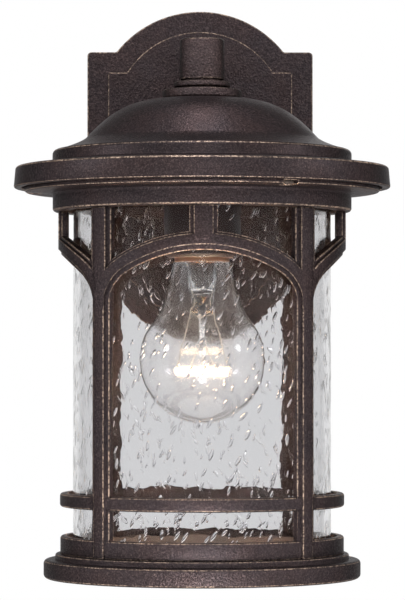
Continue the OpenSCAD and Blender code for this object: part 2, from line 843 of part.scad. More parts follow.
module ground_lead() {
    top_d = panel_back - washer_t - lug_t;
    top = [0, -top_d - lug_t / 2, arm_z - washer_r - 4];
    low = [0, -strap_t - lug_t / 2 - 1, ground_head_r + ground_tab - ground_screw_drop];
    bow = [0, 0, ground_bow];
    route = [for (i = [0 : 16]) bez([top, top - bow, low + bow, low], i / 16)];
    color(copper) union() {
        lug(top_d, arm_z, nipple_r + slip_gap, arm_nut_r - 0.6, -washer_r - ground_tab);
        lug(strap_t, -ground_screw_drop, stud_r + slip_gap, ground_head_r,
            ground_head_r + ground_tab + cut);
        tube(concat([top + [0, 0, 1]], route), ground_wire_r, 8);
        translate(low - [0, 0, 1]) cylinder(r = ground_wire_r, h = 1.5);
        translate(low - [ground_wire_r, 0, 1]) cube([2 * ground_wire_r, 1.2, 1]);
    }
}

module wire_connectors() {
    tip_r = connector_r - 1.6;
    color([0.85, 0.45, 0.15]) for (side = [-1, 1])
        translate([side * connector_x, -connector_y, arm_z - side * lead_pitch / 2])
            rotate([0, side * 90, 0]) difference() {
                rotate_extrude() polygon(concat([[0, 0], [connector_r, 0], [connector_r, 3]],
                    arc([tip_r - 1, connector_len - 1], 1, 0, 90, 4), [[0, connector_len]]));
                translate([0, 0, -1]) cylinder(r = lead_r + slip_gap, h = connector_bore + 1.3);
            }
}

// ---- Cage ----

module cage_top_ring() {
    bead = 1;
    cove = 1.6;
    edge = 1.4;
    flange_top = -flange_drop;
    flange_low = flange_top - flange_t;
    profile = concat([[cage_in_r, flange_top], [flange_r, flange_top]],
                     arc([flange_r - bead, flange_low + bead], bead, 0, -90, 4),
                     arc([ring_r + cove, flange_low - 0.6 - cove], cove, 90, 180, 5),
                     arc([ring_r - edge, frame_top + edge], edge, 0, -90, 5),
                     [[cage_in_r, frame_top]]);
    color(bronze) difference() {
        turned(profile);
        cage_screw_places() translate([0, 0, flange_low - cut])
            cylinder(r = cage_screw_r + pass_gap, h = flange_t + 2 * cut);
        cage_screw_places() translate([0, 0, flange_low - cut]) union() {
            cylinder(r = cage_head_r + pass_gap, h = cut + head_recess);
            translate([0, -cage_head_r - pass_gap, 0])
                cube([2 * cage_screw_inset, 2 * (cage_head_r + pass_gap), cut + head_recess]);
        }
        join_places() translate([0, 0, frame_top - cut])
            cylinder(r = join_screw_r + pass_gap / 2, h = flange_top - frame_top + 2 * cut);
        join_places() translate([0, 0, flange_top - join_head_h - join_sink])
            cylinder(r = join_head_r + pass_gap / 2, h = join_head_h + cut);
        clip_places() translate([clip_screw_pcr, 0, flange_top - clip_screw_len - cut])
            cylinder(r = join_screw_r + thread_gap, h = clip_screw_len + 2 * cut);
    }
}

module join_places() {
    on_axis()
        for (i = [0 : 3])
            rotate([0, 0, post_mid + i * 90]) translate([join_screw_pcr, 0, 0]) children();
}

// Three-centred arch over a window, grown outwards by g, with its origin on the springing line
function arch_points(g) =
    let (side = window_half - haunch_r, drop = crown_r - arch_rise, a = atan2(drop, side))
    concat(arc([side, 0], haunch_r + g, 0, a, 6),
           rest(arc([0, -drop], crown_r + g, a, 180 - a, 14)),
           rest(arc([-side, 0], haunch_r + g, 180 - a, 180, 6)));

// Wedge of space on both sides of a window's middle, pushed through the cage's wall
module window_wedge(half_angle) {
    far = face_r + 8;
    translate([0, 0, sill_bottom - 1]) linear_extrude(height = frame_top - sill_bottom + 2)
        polygon([[0, 0], far * [cos(half_angle), -sin(half_angle)], [far * 1.5, 0],
                 far * [cos(half_angle), sin(half_angle)]]);
}

// Outline on the springing line, pushed outwards through the cage's wall
module through_wall() {
    start = cage_in_r * cos(post_mid) - 6;
    translate([start, 0, -spring_drop]) rotate([90, 0, 90])
        linear_extrude(height = face_r + 4 - start) children();
}

// Main window and the two small ones over its arch, smaller by grow on all sides
module window_cuts(grow, grow_top, key_half) {
    grow_angle = grow / face_r * 180 / PI;
    low = spring_drop + sill_bottom - 1;
    high = frame_top + spring_drop + 1;
    intersection() {
        window_wedge(post_mid - post_half - grow_angle);
        through_wall() polygon(concat(arch_points(-grow), [[grow - window_half, low],
                                                           [window_half - grow, low]]));
    }
    intersection() {
        window_wedge(post_mid - post_head_half - grow_angle);
        through_wall() difference() {
            translate([-window_half - 10, 0]) square([2 * window_half + 20, high]);
            polygon(arch_points(arch_w + grow_top));
            translate([-key_half, 0]) square([2 * key_half, high + 1]);
        }
    }
}

// One layer of the cage between two radii
module cage_layer(r_in, r_out, grow, grow_top, key_half) {
    difference() {
        axis_tube(r_out, r_in, sill_bottom, frame_top);
        on_axis()
            for (i = [0 : 3])
                rotate([0, 0, 90 * i]) window_cuts(grow, grow_top, key_half);
    }
}

module cage_frame() {
    color(bronze) difference() {
        union() {
            cage_layer(cage_in_r, ledge_r, ledge_w, ledge_top_w,
                       keystone_w / 2 + keystone_ledge_w);
            cage_layer(ledge_r - 1, face_r, 0, 0, keystone_w / 2);
            turned(concat([[cage_in_r, band_bottom]],
                          arc([band_r - band_edge, band_bottom + band_edge], band_edge, -90, 0, 4),
                          arc([band_r - band_edge, band_top - band_edge], band_edge, 0, 90, 4),
                          [[cage_in_r, band_top]]));
            turned(concat([[cage_in_r, sill_bottom], [sill_r, sill_bottom]],
                          arc([sill_r - sill_edge, -sill_drop - sill_edge], sill_edge, 0, 90, 4),
                          [[cage_in_r, -sill_drop]]));
        }
        join_places() translate([0, 0, frame_top - join_screw_grip - cut])
            cylinder(r = join_screw_r + thread_gap, h = join_screw_grip + 2 * cut);
        join_places() translate([0, 0, sill_bottom - cut])
            cylinder(r = join_screw_r + thread_gap, h = join_screw_grip + 2 * cut);
    }
}

module top_join_screws() {
    head_low = -flange_drop - join_head_h - join_sink;
    color(steel) join_places() union() {
        translate([0, 0, frame_top - join_screw_grip])
            cylinder(r = join_screw_r, h = head_low - frame_top + join_screw_grip + bite);
        translate([0, 0, head_low]) cylinder(r = join_head_r, h = join_head_h);
    }
}

module foot_join_screws() {
    color(steel) join_places() union() {
        translate([0, 0, foot_head_top - bite])
            cylinder(r = join_screw_r, h = sill_bottom + join_screw_grip - foot_head_top + bite);
        translate([0, 0, foot_bottom + foot_sink]) cylinder(r = join_head_r, h = join_head_h);
    }
}

module foot_ring() {
    color(bronze) difference() {
        turned(concat([[foot_bore_r, foot_bottom]],
                      arc([foot_r - foot_edge, foot_bottom + foot_edge], foot_edge, -90, 0),
                      arc([foot_r - foot_edge, slab_top - foot_edge], foot_edge, 0, 90),
                      [[foot_step_r, slab_top]],
                      arc([foot_step_r - foot_step_edge, foot_top - foot_step_edge],
                          foot_step_edge, 0, 90, 4),
                      [[foot_bore_r, foot_top]]));
        join_places() translate([0, 0, foot_bottom - cut])
            cylinder(r = join_screw_r + pass_gap / 2, h = foot_top - foot_bottom + 2 * cut);
        join_places() translate([0, 0, foot_bottom - cut])
            cylinder(r = join_head_r + pass_gap / 2, h = foot_head_top - foot_bottom + cut);
    }
}

// ---- Glass ----

module glass_cylinder() {
    color([0.85, 0.90, 0.90, 0.35]) axis_tube(glass_r, glass_in_r, glass_bottom, glass_top);
}

// Rubber channel on an edge of the glass, from its base z0 towards dir
module glass_gasket(z0, dir) {
    r_out = cage_in_r - slip_gap / 2;
    color([0.10, 0.10, 0.10])
        turned([[foot_bore_r, z0], [r_out, z0], [r_out, z0 + dir * rubber_h],
                [glass_r, z0 + dir * rubber_h], [glass_r, z0 + dir * rubber_t],
                [glass_in_r, z0 + dir * rubber_t], [glass_in_r, z0 + dir * rubber_h],
                [foot_bore_r, z0 + dir * rubber_h]]);
}

module glass_gasket_top() {
    glass_gasket(rubber_top, -1);
}

module glass_gasket_bottom() {
    glass_gasket(foot_top, 1);
}

module clip_places() {
    on_axis()
        for (i = [0 : 2])
            rotate([0, 0, cage_screw_turn + 60 + i * 120]) children();
}

module glass_clips() {
    inner = glass_in_r - clip_reach;
    color(steel) difference() {
        clip_places() translate([inner, -clip_w / 2, -flange_drop])
            cube([clip_screw_pcr + clip_tail - inner, clip_w, clip_t]);
        clip_places() translate([clip_screw_pcr, 0, -flange_drop - cut])
            cylinder(r = join_screw_r + slip_gap, h = clip_t + 2 * cut);
    }
}

module clip_screws() {
    color(steel) clip_places() translate([clip_screw_pcr, 0, 0]) union() {
        translate([0, 0, -flange_drop - clip_screw_len])
            cylinder(r = join_screw_r, h = clip_screw_len + clip_t + bite);
        translate([0, 0, clip_t - flange_drop]) cylinder(r = join_head_r, h = clip_head_h);
    }
}

// ---- Bulb ----

module bulb_glass() {
    t = bulb_glass_t;
    neck = neck_tube_r;
    outside = concat(arc([0, bulb_z], bulb_r, -90, blend_a, 22), bez_run(neck_curve, 10));
    inside = concat(arc([0, bulb_z], bulb_r - t, -90, blend_a, 22), bez_run(neck_curve, 10, -t));
    color([0.95, 0.95, 0.92, 0.3])
        turned(concat(outside, [[neck, cap_rim], [neck, cap_rim + 6], [neck - t, cap_rim + 6],
                                [neck - t, cap_rim - 1]],
                      flip(inside)));
}

module bulb_stem() {
    tube_t = 0.8;
    top = cap_rim + 4;
    press_w = 2 * stem_r - 0.6;
    color([0.85, 0.92, 0.90, 0.4]) union() {
        turned([[stem_r - tube_t, stem_bottom], [stem_r, stem_bottom], [stem_r, top - 2],
                [neck_tube_r - bulb_glass_t - 0.1, top], [neck_tube_r - bulb_glass_t - 0.1, top + 1],
                [stem_r - tube_t, top - 1]]);
        on_axis() translate([0, 0, press_bottom]) cylinder(r = stem_r - 0.6, h = 3);
        on_axis() translate([-press_w / 2, -1.6, press_bottom])
            cube([press_w, 3.2, stem_bottom - press_bottom]);
        on_axis() translate([0, 0, rod_bottom])
            cylinder(r = rod_r, h = press_bottom - rod_bottom + 0.5);
        on_axis() translate([0, 0, rod_bottom]) sphere(r = bead_r);
        axis_tube(stem_r, 1.2, stem_bottom - 0.8, stem_bottom + 0.1);
    }
}

// Curved wire inside the bulb, in its own frame on the axis
module bulb_wire(from, from_dir, to, to_dir) {
    tube([for (i = [0 : 10]) bez([from, from + from_dir, to - to_dir, to], i / 10)], bulb_wire_r, 8);
}

module bulb_supports() {
    top = filament_z + filament_r + 0.1;
    reach = press_bottom - top;
    drop = rod_bottom - top;
    color(steel) on_axis()
        for (s = [-1, 1]) {
            bulb_wire([s * stem_r / 2, 0, press_bottom], [0, 0, -0.25 * reach],
                      [s * (filament_len / 2 - filament_r), 0, top],
                      [s * 0.12 * filament_len / 2, 0, -0.37 * reach]);
            bulb_wire([s * (bead_r + 0.1), 0, rod_bottom], [s * hook_span / 2.5, 0, -0.08 * drop],
                      [s * hook_span, 0, top], [s * 0.06 * hook_span, 0, -0.4 * drop]);
        }
}

module bulb_filament() {
    color([0.95, 0.85, 0.6]) on_axis() translate([-filament_len / 2, 0, filament_z])
        rotate([0, 90, 0]) cylinder(r = filament_r, h = filament_len);
}

module bulb_cap() {
    n = 8;
    turns = floor((cap_shell_top - cap_rim) / cap_pitch) - 1;
    crest = cap_r - cap_thread_depth / 2;
    thread = [for (i = [0 : turns * n]) let (z = cap_rim + 3 + i / n * cap_pitch)
              [crest + cap_thread_depth / 2 * cos(360 * i / n), z]];
    color([0.85, 0.80, 0.70])
        turned(concat([[neck_tube_r + 0.1, cap_rim], [cap_r, cap_rim]], thread,
                      [[crest - 1, cap_shell_top], [insulator_r - 1, cap_shell_top],
                       [insulator_r - 1, cap_shell_top - cap_t],
                       [neck_tube_r + 0.1, cap_shell_top - cap_t - 2]]));
}

module bulb_insulator() {
    low = cap_shell_top;
    color([0.06, 0.06, 0.07])
        turned([[0, low], [insulator_r, low], [contact_r, low + insulator_h],
                [0, low + insulator_h]]);
}

module bulb_contact() {
    color([0.75, 0.74, 0.70]) on_axis() translate([0, 0, cap_tip - contact_h])
        cylinder(r = contact_r, h = contact_h);
}

wall_gasket();
backplate();
mounting_plate();
mounting_studs();
cap_nuts();
ground_screw();
arm();
arm_lock_washer();
arm_nut();
hub_nipple();
neck_ring();
neck_collar();
roof();
roof_washer();
roof_nut();
socket_bracket();
bracket_nut();
bracket_screws();
socket_body();
socket_shell();
socket_tongue();
terminal_screws();
lead_live();
lead_neutral();
ground_lead();
wire_connectors();
cage_top_ring();
cage_frame();
foot_ring();
cage_screws();
top_join_screws();
foot_join_screws();
glass_cylinder();
glass_gasket_top();
glass_gasket_bottom();
glass_clips();
clip_screws();
bulb_glass();
bulb_stem();
bulb_supports();
bulb_filament();
bulb_cap();
bulb_insulator();
bulb_contact();
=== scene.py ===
import json
import math
import random

import bmesh
import bpy
from mathutils import Matrix, Vector


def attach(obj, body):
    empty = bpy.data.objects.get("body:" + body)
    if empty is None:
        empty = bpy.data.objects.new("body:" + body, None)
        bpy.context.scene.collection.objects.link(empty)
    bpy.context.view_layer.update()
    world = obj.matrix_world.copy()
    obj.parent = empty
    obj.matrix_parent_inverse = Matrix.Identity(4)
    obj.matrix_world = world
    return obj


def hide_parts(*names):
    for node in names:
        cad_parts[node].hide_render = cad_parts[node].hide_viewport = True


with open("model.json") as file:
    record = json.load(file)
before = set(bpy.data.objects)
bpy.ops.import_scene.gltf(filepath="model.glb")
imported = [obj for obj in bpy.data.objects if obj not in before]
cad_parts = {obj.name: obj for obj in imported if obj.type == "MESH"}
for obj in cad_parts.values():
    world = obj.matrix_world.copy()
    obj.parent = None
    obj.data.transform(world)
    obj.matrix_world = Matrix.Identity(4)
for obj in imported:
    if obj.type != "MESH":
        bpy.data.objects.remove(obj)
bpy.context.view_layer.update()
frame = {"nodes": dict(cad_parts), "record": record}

scene = bpy.context.scene
scene.view_settings.view_transform = "Standard"
nodes = frame["nodes"]
axisY = -0.114  # the lantern's axis stands at x = 0 and this depth
mergeGap = 2e-6  # points nearer than this are one

cameraSet = {
    "lens": 181.3,
    "sensor": 36.0,
    "nearest": 0.01,
    "place": (-0.015, -1.548, -0.0965),
    "aim": (0.0002, axisY, -0.0652),
}


def aimAt(item, target):
    away = Vector(target) - Vector(item.location)
    item.rotation_mode = "QUATERNION"
    item.rotation_quaternion = away.to_track_quat("-Z", "Y")


cameraData = bpy.data.cameras.new("lanternCamera")
cameraData.lens = cameraSet["lens"]
cameraData.sensor_width = cameraSet["sensor"]
cameraData.clip_start = cameraSet["nearest"]
camera = bpy.data.objects.new("lanternCamera", cameraData)
scene.collection.objects.link(camera)
camera.location = cameraSet["place"]
aimAt(camera, cameraSet["aim"])
scene.camera = camera
print("camera placed")

studio = {
    "aim": (0.0, axisY, -0.06),
    "ambient": 0.06,
    "floorDrop": 0.62,
    "floorSize": 6.0,
    "floorColors": ((0.86, 0.86, 0.86, 1), (0.90, 0.90, 0.90, 1)),
    "floorClouds": 3.0,
    "floorLift": 0.62,  # how pale the floor looks; it lights nothing
}
lampSets = {
    "overLamp": {"place": (0.0, 0.10, 2.10), "size": 0.40, "watts": 12.0, "color": (1.0, 0.98, 1.0)},
    "highLamp": {"place": (0.0, -1.30, 1.70), "size": 0.45, "watts": 13.0, "color": (1.0, 0.98, 0.99)},
    "leftLamp": {"place": (-1.90, -0.75, 0.55), "size": 0.45, "watts": 6.5, "color": (1.0, 1.0, 1.0)},
    "rightLamp": {"place": (1.90, -0.75, 0.55), "size": 0.45, "watts": 6.5, "color": (1.0, 1.0, 1.0)},
    "frontLamp": {"place": (0.0, -2.30, 0.30), "size": 0.50, "watts": 5.0, "color": (1.0, 0.98, 0.98)},
    "lowLamp": {"place": (0.0, -0.40, -0.29), "size": 0.10, "watts": 1.0, "color": (1.0, 0.96, 0.93)},
    "backLamp": {"place": (0.3, 2.1, 0.6), "size": 1.0, "watts": 3.0, "color": (1.0, 1.0, 1.0)},
}


def addLamp(name, place, size, watts, color):
    data = bpy.data.lights.new(name, "AREA")
    data.shape = "DISK"
    data.size = size
    data.energy = watts
    data.color = color
    lamp = bpy.data.objects.new(name, data)
    scene.collection.objects.link(lamp)
    lamp.location = place
    aimAt(lamp, studio["aim"])


for lampName, lampSet in lampSets.items():
    addLamp(lampName, **lampSet)


def joinNodes(tree, start, startSocket, end, endSocket):
    tree.links.new(start.outputs[startSocket], end.inputs[endSocket])


def addNode(tree, kind, **values):
    node = tree.nodes.new(kind)
    for key, value in values.items():
        setattr(node, key, value)
    return node


def setInputs(node, values):
    for key, value in values.items():
        node.inputs[key].default_value = value


def feed(tree, value, socket):  # the value is plain or another node's output
    if isinstance(value, bpy.types.NodeSocket):
        tree.links.new(value, socket)
    else:
        socket.default_value = value


def addMath(tree, operation, *values, clamp=False):
    node = addNode(tree, "ShaderNodeMath", operation=operation, use_clamp=clamp)
    for slot, value in enumerate(values):
        feed(tree, value, node.inputs[slot])
    return node.outputs[0]


def addBackground(tree, strength):
    node = addNode(tree, "ShaderNodeBackground")
    setInputs(node, {"Color": (1, 1, 1, 1), "Strength": strength})
    return node


def makeWorld():
    world = bpy.data.worlds.new("studioWorld")
    world.use_nodes = True
    tree = world.node_tree
    tree.nodes.clear()
    path = addNode(tree, "ShaderNodeLightPath")
    mirrored = addMath(tree, "MAXIMUM", path.outputs["Is Glossy Ray"], path.outputs["Is Transmission Ray"])
    unscattered = addMath(tree, "LESS_THAN", path.outputs["Diffuse Depth"], 0.5)
    mirrored = addMath(tree, "MULTIPLY", mirrored, unscattered)  # the white is seen, but lights nothing
    seen = addMath(tree, "MAXIMUM", path.outputs["Is Camera Ray"], mirrored)
    mix = addNode(tree, "ShaderNodeMixShader")
    feed(tree, seen, mix.inputs[0])
    joinNodes(tree, addBackground(tree, studio["ambient"]), 0, mix, 1)
    joinNodes(tree, addBackground(tree, 1.0), 0, mix, 2)
    joinNodes(tree, mix, 0, addNode(tree, "ShaderNodeOutputWorld"), "Surface")
    scene.world = world


makeWorld()
print("studio lit")


def toObjectMode():
    if bpy.context.mode != "OBJECT":
        bpy.ops.object.mode_set(mode="OBJECT")


def pickNothing():
    toObjectMode()
    bpy.ops.object.select_all(action="DESELECT")


def pickOnly(*items):
    pickNothing()
    for item in items:
        item.select_set(True)
    bpy.context.view_layer.objects.active = items[-1]


def editAll():  # opens the active piece in edit mode with all of it selected
    bpy.ops.object.mode_set(mode="EDIT")
    bpy.ops.mesh.select_all(action="SELECT")


def startPiece(name):
    piece = bpy.context.object
    piece.name = name
    piece.data.name = name
    return piece


def settle(piece):  # leaves the piece at the origin with its place in its mesh
    pickOnly(piece)
    bpy.ops.object.transform_apply(location=True, rotation=True, scale=True)


def applyModifiers(piece):
    pickOnly(piece)
    for modifier in list(piece.modifiers):
        bpy.ops.object.modifier_apply(modifier=modifier.name)


def joinPieces(*pieces):  # into the last of them
    pickOnly(*pieces)
    bpy.ops.object.join()
    return bpy.context.object


def placedCopy(piece, name, place):
    copy = bpy.data.objects.new(name, piece.data.copy())
    scene.collection.objects.link(copy)
    copy.data.transform(place)
    return copy


def smoothByAngle(piece, degrees):
    pickOnly(piece)
    bpy.ops.object.shade_smooth_by_angle(angle=math.radians(degrees))


def toMetres(place):
    return [value / 1000 for value in place]


def onRing(radius, angle, height=0):  # a place in mm on a ring round the axis
    turn = math.radians(angle)
    return (radius * math.cos(turn), axisY * 1000 + radius * math.sin(turn), height)


def addBlock(name, place, size):  # in mm
    pickNothing()
    bpy.ops.mesh.primitive_cube_add(size=0.001, location=toMetres(place))
    block = startPiece(name)
    bpy.ops.object.mode_set(mode="EDIT")
    bpy.ops.transform.resize(value=size)
    settle(block)
    return block


def addRod(name, place, radius, length, sides=32, lean=0.0):  # in mm; upright unless it leans about Y
    pickNothing()
    bpy.ops.mesh.primitive_cylinder_add(
        vertices=sides, radius=radius / 1000, depth=length / 1000,
        location=toMetres(place), rotation=(0, lean, 0),
    )
    rod = startPiece(name)
    settle(rod)
    return rod


def arcPoints(centre, radius, start, end, count):
    points = []
    for index in range(count + 1):
        turn = math.radians(start + (end - start) * index / count)
        points.append((centre[0] + radius * math.cos(turn), centre[1] + radius * math.sin(turn)))
    return points


def roundAt(corner, inward, rounding, start, end, count):  # an arc in a corner, its middle lying inward
    middle = (corner[0] + inward[0] * rounding, corner[1] + inward[1] * rounding)
    return arcPoints(middle, rounding, start, end, count)


def curvePoints(a, b, c, d, count):
    points = []
    for index in range(count + 1):
        t = index / count
        weights = ((1 - t) ** 3, 3 * t * (1 - t) ** 2, 3 * t * t * (1 - t), t ** 3)
        points.append(tuple(sum(w * p[k] for w, p in zip(weights, (a, b, c, d))) for k in (0, 1)))
    return points


def roundCorners(corners, stepDegrees=22):  # corners are (radius from the axis, height, rounding) in mm
    points = []
    total = len(corners)
    for index, corner in enumerate(corners):
        here = Vector(corner[:2])
        rounding = corner[2] if len(corner) > 2 else 0
        if not rounding:
            points.append(tuple(here))
            continue
        before = (Vector(corners[index - 1][:2]) - here).normalized()
        after = (Vector(corners[(index + 1) % total][:2]) - here).normalized()
        half = before.angle(after) / 2
        reach = rounding / math.tan(half)
        middle = here + (before + after).normalized() * (rounding / math.sin(half))
        first, last = here + before * reach - middle, here + after * reach - middle
        turn = first.angle_signed(last)
        steps = max(2, round(abs(math.degrees(turn)) / stepDegrees))
        for step in range(steps + 1):
            spun = first.copy()
            spun.rotate(Matrix.Rotation(-turn * step / steps, 2))
            points.append(tuple(middle + spun))
    return points


def turnedPiece(name, outline, steps, closed=True):  # outline in mm, spun round the axis
    pickNothing()
    points = [Vector((r / 1000, axisY, z / 1000)) for r, z in outline]
    if closed:
        points.append(points[0])
    bpy.ops.mesh.primitive_plane_add(size=0.001, location=points[0])
    piece = startPiece(name)
    bpy.ops.object.mode_set(mode="EDIT")
    bpy.ops.mesh.merge(type="CENTER")
    for near, far in zip(points, points[1:]):
        bpy.ops.mesh.extrude_region_move(TRANSFORM_OT_translate={"value": far - near})
    bpy.ops.mesh.select_all(action="SELECT")
    bpy.ops.mesh.spin(steps=steps, angle=2 * math.pi, center=(0, axisY, 0), axis=(0, 0, 1))
    bpy.ops.mesh.select_all(action="SELECT")
    bpy.ops.mesh.remove_doubles(threshold=mergeGap)
    bpy.ops.mesh.normals_make_consistent(inside=False)
    settle(piece)
    return piece


def copyOfNode(node, name, flatDegrees=0.6):
    mesh = nodes[node].data.copy()
    mesh.materials.clear()
    piece = bpy.data.objects.new(name, mesh)
    mesh.name = name
    scene.collection.objects.link(piece)
    pickOnly(piece)
    bpy.ops.mesh.customdata_custom_splitnormals_clear()
    editAll()
    bpy.ops.mesh.remove_doubles(threshold=mergeGap)
    bpy.ops.mesh.dissolve_limited(angle_limit=math.radians(flatDegrees))
    toObjectMode()
    return piece


def cutAlong(piece, planes):  # (point in m, normal); parts large flat faces so that each has no hole in it
    pickOnly(piece)
    bpy.ops.object.mode_set(mode="EDIT")
    for point, normal in planes:
        bpy.ops.mesh.select_all(action="SELECT")
        bpy.ops.mesh.bisect(plane_co=point, plane_no=normal)
    toObjectMode()


def cutAway(piece, cutter):
    boolean = piece.modifiers.new("cut", "BOOLEAN")
    boolean.operation = "DIFFERENCE"
    boolean.object = cutter
    applyModifiers(piece)
    bpy.data.objects.remove(cutter)


def softenEdges(piece, width, segments, degrees=38):  # width in mm
    bevel = piece.modifiers.new("soften", "BEVEL")
    bevel.width = width / 1000
    bevel.segments = segments
    bevel.limit_method = "ANGLE"
    bevel.angle_limit = math.radians(degrees)
    bevel.use_clamp_overlap = False
    while len(piece.data.materials) < 2:
        piece.data.materials.append(None)
    bevel.material = 1
    applyModifiers(piece)


wearSet = {
    "bend": 7,  # degrees at the long sides of a face; a sharper bend is an edge
    "longSide": 0.4,  # of the longest side
    "widest": 0.9,  # mm across the middle row of a turned edge
    "slope": (0.40, 0.74),
    "inside": (0.02, 0.075),  # m from the axis, where faces that look inwards are never rubbed
    "inward": -0.15,
}


def markWear(piece):  # 1 on bevel rows and on the middle row of each turned edge
    s = wearSet
    mesh = piece.data
    work = bmesh.new()
    work.from_mesh(mesh)
    worn = [0.0] * len(work.faces)
    for index, face in enumerate(work.faces):
        longest = max(edge.calc_length() for edge in face.edges)
        width = face.calc_area() / max(longest, 1e-9) * 1000
        sides = [edge for edge in face.edges if edge.calc_length() > s["longSide"] * longest]
        bends = [math.degrees(edge.calc_face_angle_signed(0.0)) for edge in sides]
        outward = max(bends) > s["bend"] and min(bends) > -s["bend"]
        centre = face.calc_center_median()
        fromAxis = Vector((centre.x, centre.y - axisY, 0))
        inside = s["inside"][0] < fromAxis.length < s["inside"][1]
        if inside and face.normal.dot(fromAxis.normalized()) < s["inward"]:
            continue
        middleRow = width < s["widest"] and s["slope"][0] < abs(face.normal.z) < s["slope"][1]
        if outward and (face.material_index == 1 or middleRow):
            worn[index] = 1.0
    layer = mesh.color_attributes.new("wear", "FLOAT_COLOR", "CORNER")
    for face in mesh.polygons:
        face.material_index = 0
        value = worn[face.index]
        for loop in face.loop_indices:
            layer.data[loop].color = (value, value, value, 1.0)
    work.free()


def dress(piece, material, body, slotName, *replaced):
    if material:
        piece.data.materials.clear()
        piece.data.materials.append(material)
    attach(piece, body)
    if replaced:
        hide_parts(*replaced)


def startGroup(name, inputs, outputs):  # an input's value says whether it is a colour or a number
    group = bpy.data.node_groups.new(name, "ShaderNodeTree")
    for key, value in inputs.items():
        kind = "NodeSocketColor" if isinstance(value, tuple) else "NodeSocketFloat"
        group.interface.new_socket(name=key, in_out="INPUT", socket_type=kind).default_value = value
    for key, kind in outputs.items():
        group.interface.new_socket(name=key, in_out="OUTPUT", socket_type=kind)
    coords = addNode(group, "ShaderNodeTexCoord").outputs["Object"]
    return group, addNode(group, "NodeGroupInput"), addNode(group, "NodeGroupOutput"), coords


def mixColor(tree, factor, first, second, blend="MIX"):
    node = addNode(tree, "ShaderNodeMix", data_type="RGBA", blend_type=blend)
    for slot, value in ((0, factor), (6, first), (7, second)):
        feed(tree, value, node.inputs[slot])
    return node.outputs[2]


def tintColor(tree, color, tint):
    return mixColor(tree, 1.0, color, tint, "MULTIPLY")


def rampValue(tree, value, low, high):
    node = addNode(tree, "ShaderNodeMapRange", clamp=True)
    feed(tree, value, node.inputs["Value"])
    setInputs(node, {"From Min": low, "From Max": high})
    return node.outputs["Result"]


def addNoise(tree, coords, scale, detail=2.0, rough=0.5):
    node = addNode(tree, "ShaderNodeTexNoise")
    setInputs(node, {"Detail": detail, "Roughness": rough})
    feed(tree, scale, node.inputs["Scale"])
    feed(tree, coords, node.inputs["Vector"])
    return node.outputs["Fac"]


def addBump(tree, height, depth):
    node = addNode(tree, "ShaderNodeBump")
    feed(tree, height, node.inputs["Height"])
    feed(tree, depth, node.inputs["Distance"])
    return node.outputs[0]


surfaceOutputs = {"Color": "NodeSocketColor", "Roughness": "NodeSocketFloat", "Normal": "NodeSocketVector"}
bronzeSet = {
    "Coat Color": (0.048, 0.0395, 0.042, 1),
    # the rubbed copper of worn edges, also the colour of the painted glints on pebble crests
    "Rubbed And Glint Color": (0.64, 0.48, 0.37, 1),
    "Pebble Scale": 1000.0,
    "Pebble Depth": 0.00042,
    "Rubbing": 0.95,
}
# noises are scale, detail and roughness; a pair says where in a noise something starts and is full
pebbleSet = {
    "fine": (3400.0, 1.0), "gritty": (1700.0, 0.0), "cloudy": (42.0, 3.0, 0.6), "patchy": (330.0, 2.0, 0.6),
    "detail": 1.5, "rough": 0.45,  # of the pebbles
    "dipTint": (0.68, 0.67, 0.69, 1), "gritTint": (1.7, 1.62, 1.58, 1), "warmTint": (1.16, 1.04, 0.98, 1),
    "crests": (0.38, 0.68), "grits": (0.50, 0.72), "clouds": (0.35, 0.7),
    # the specks are painted glints on the pebble crests
    "glintFrom": 0.70, "glintCrests": (0.5, 0.75), "glintShare": 0.25,
    "rubbedCrests": (0.40, 0.60), "patches": (0.30, 0.55), "leastRubbed": 0.12,
    "stretches": (0.38, 0.62), "leastStretch": 0.5,
    "roughness": 0.27, "roughMore": 0.22, "fineHeight": 0.25,
}


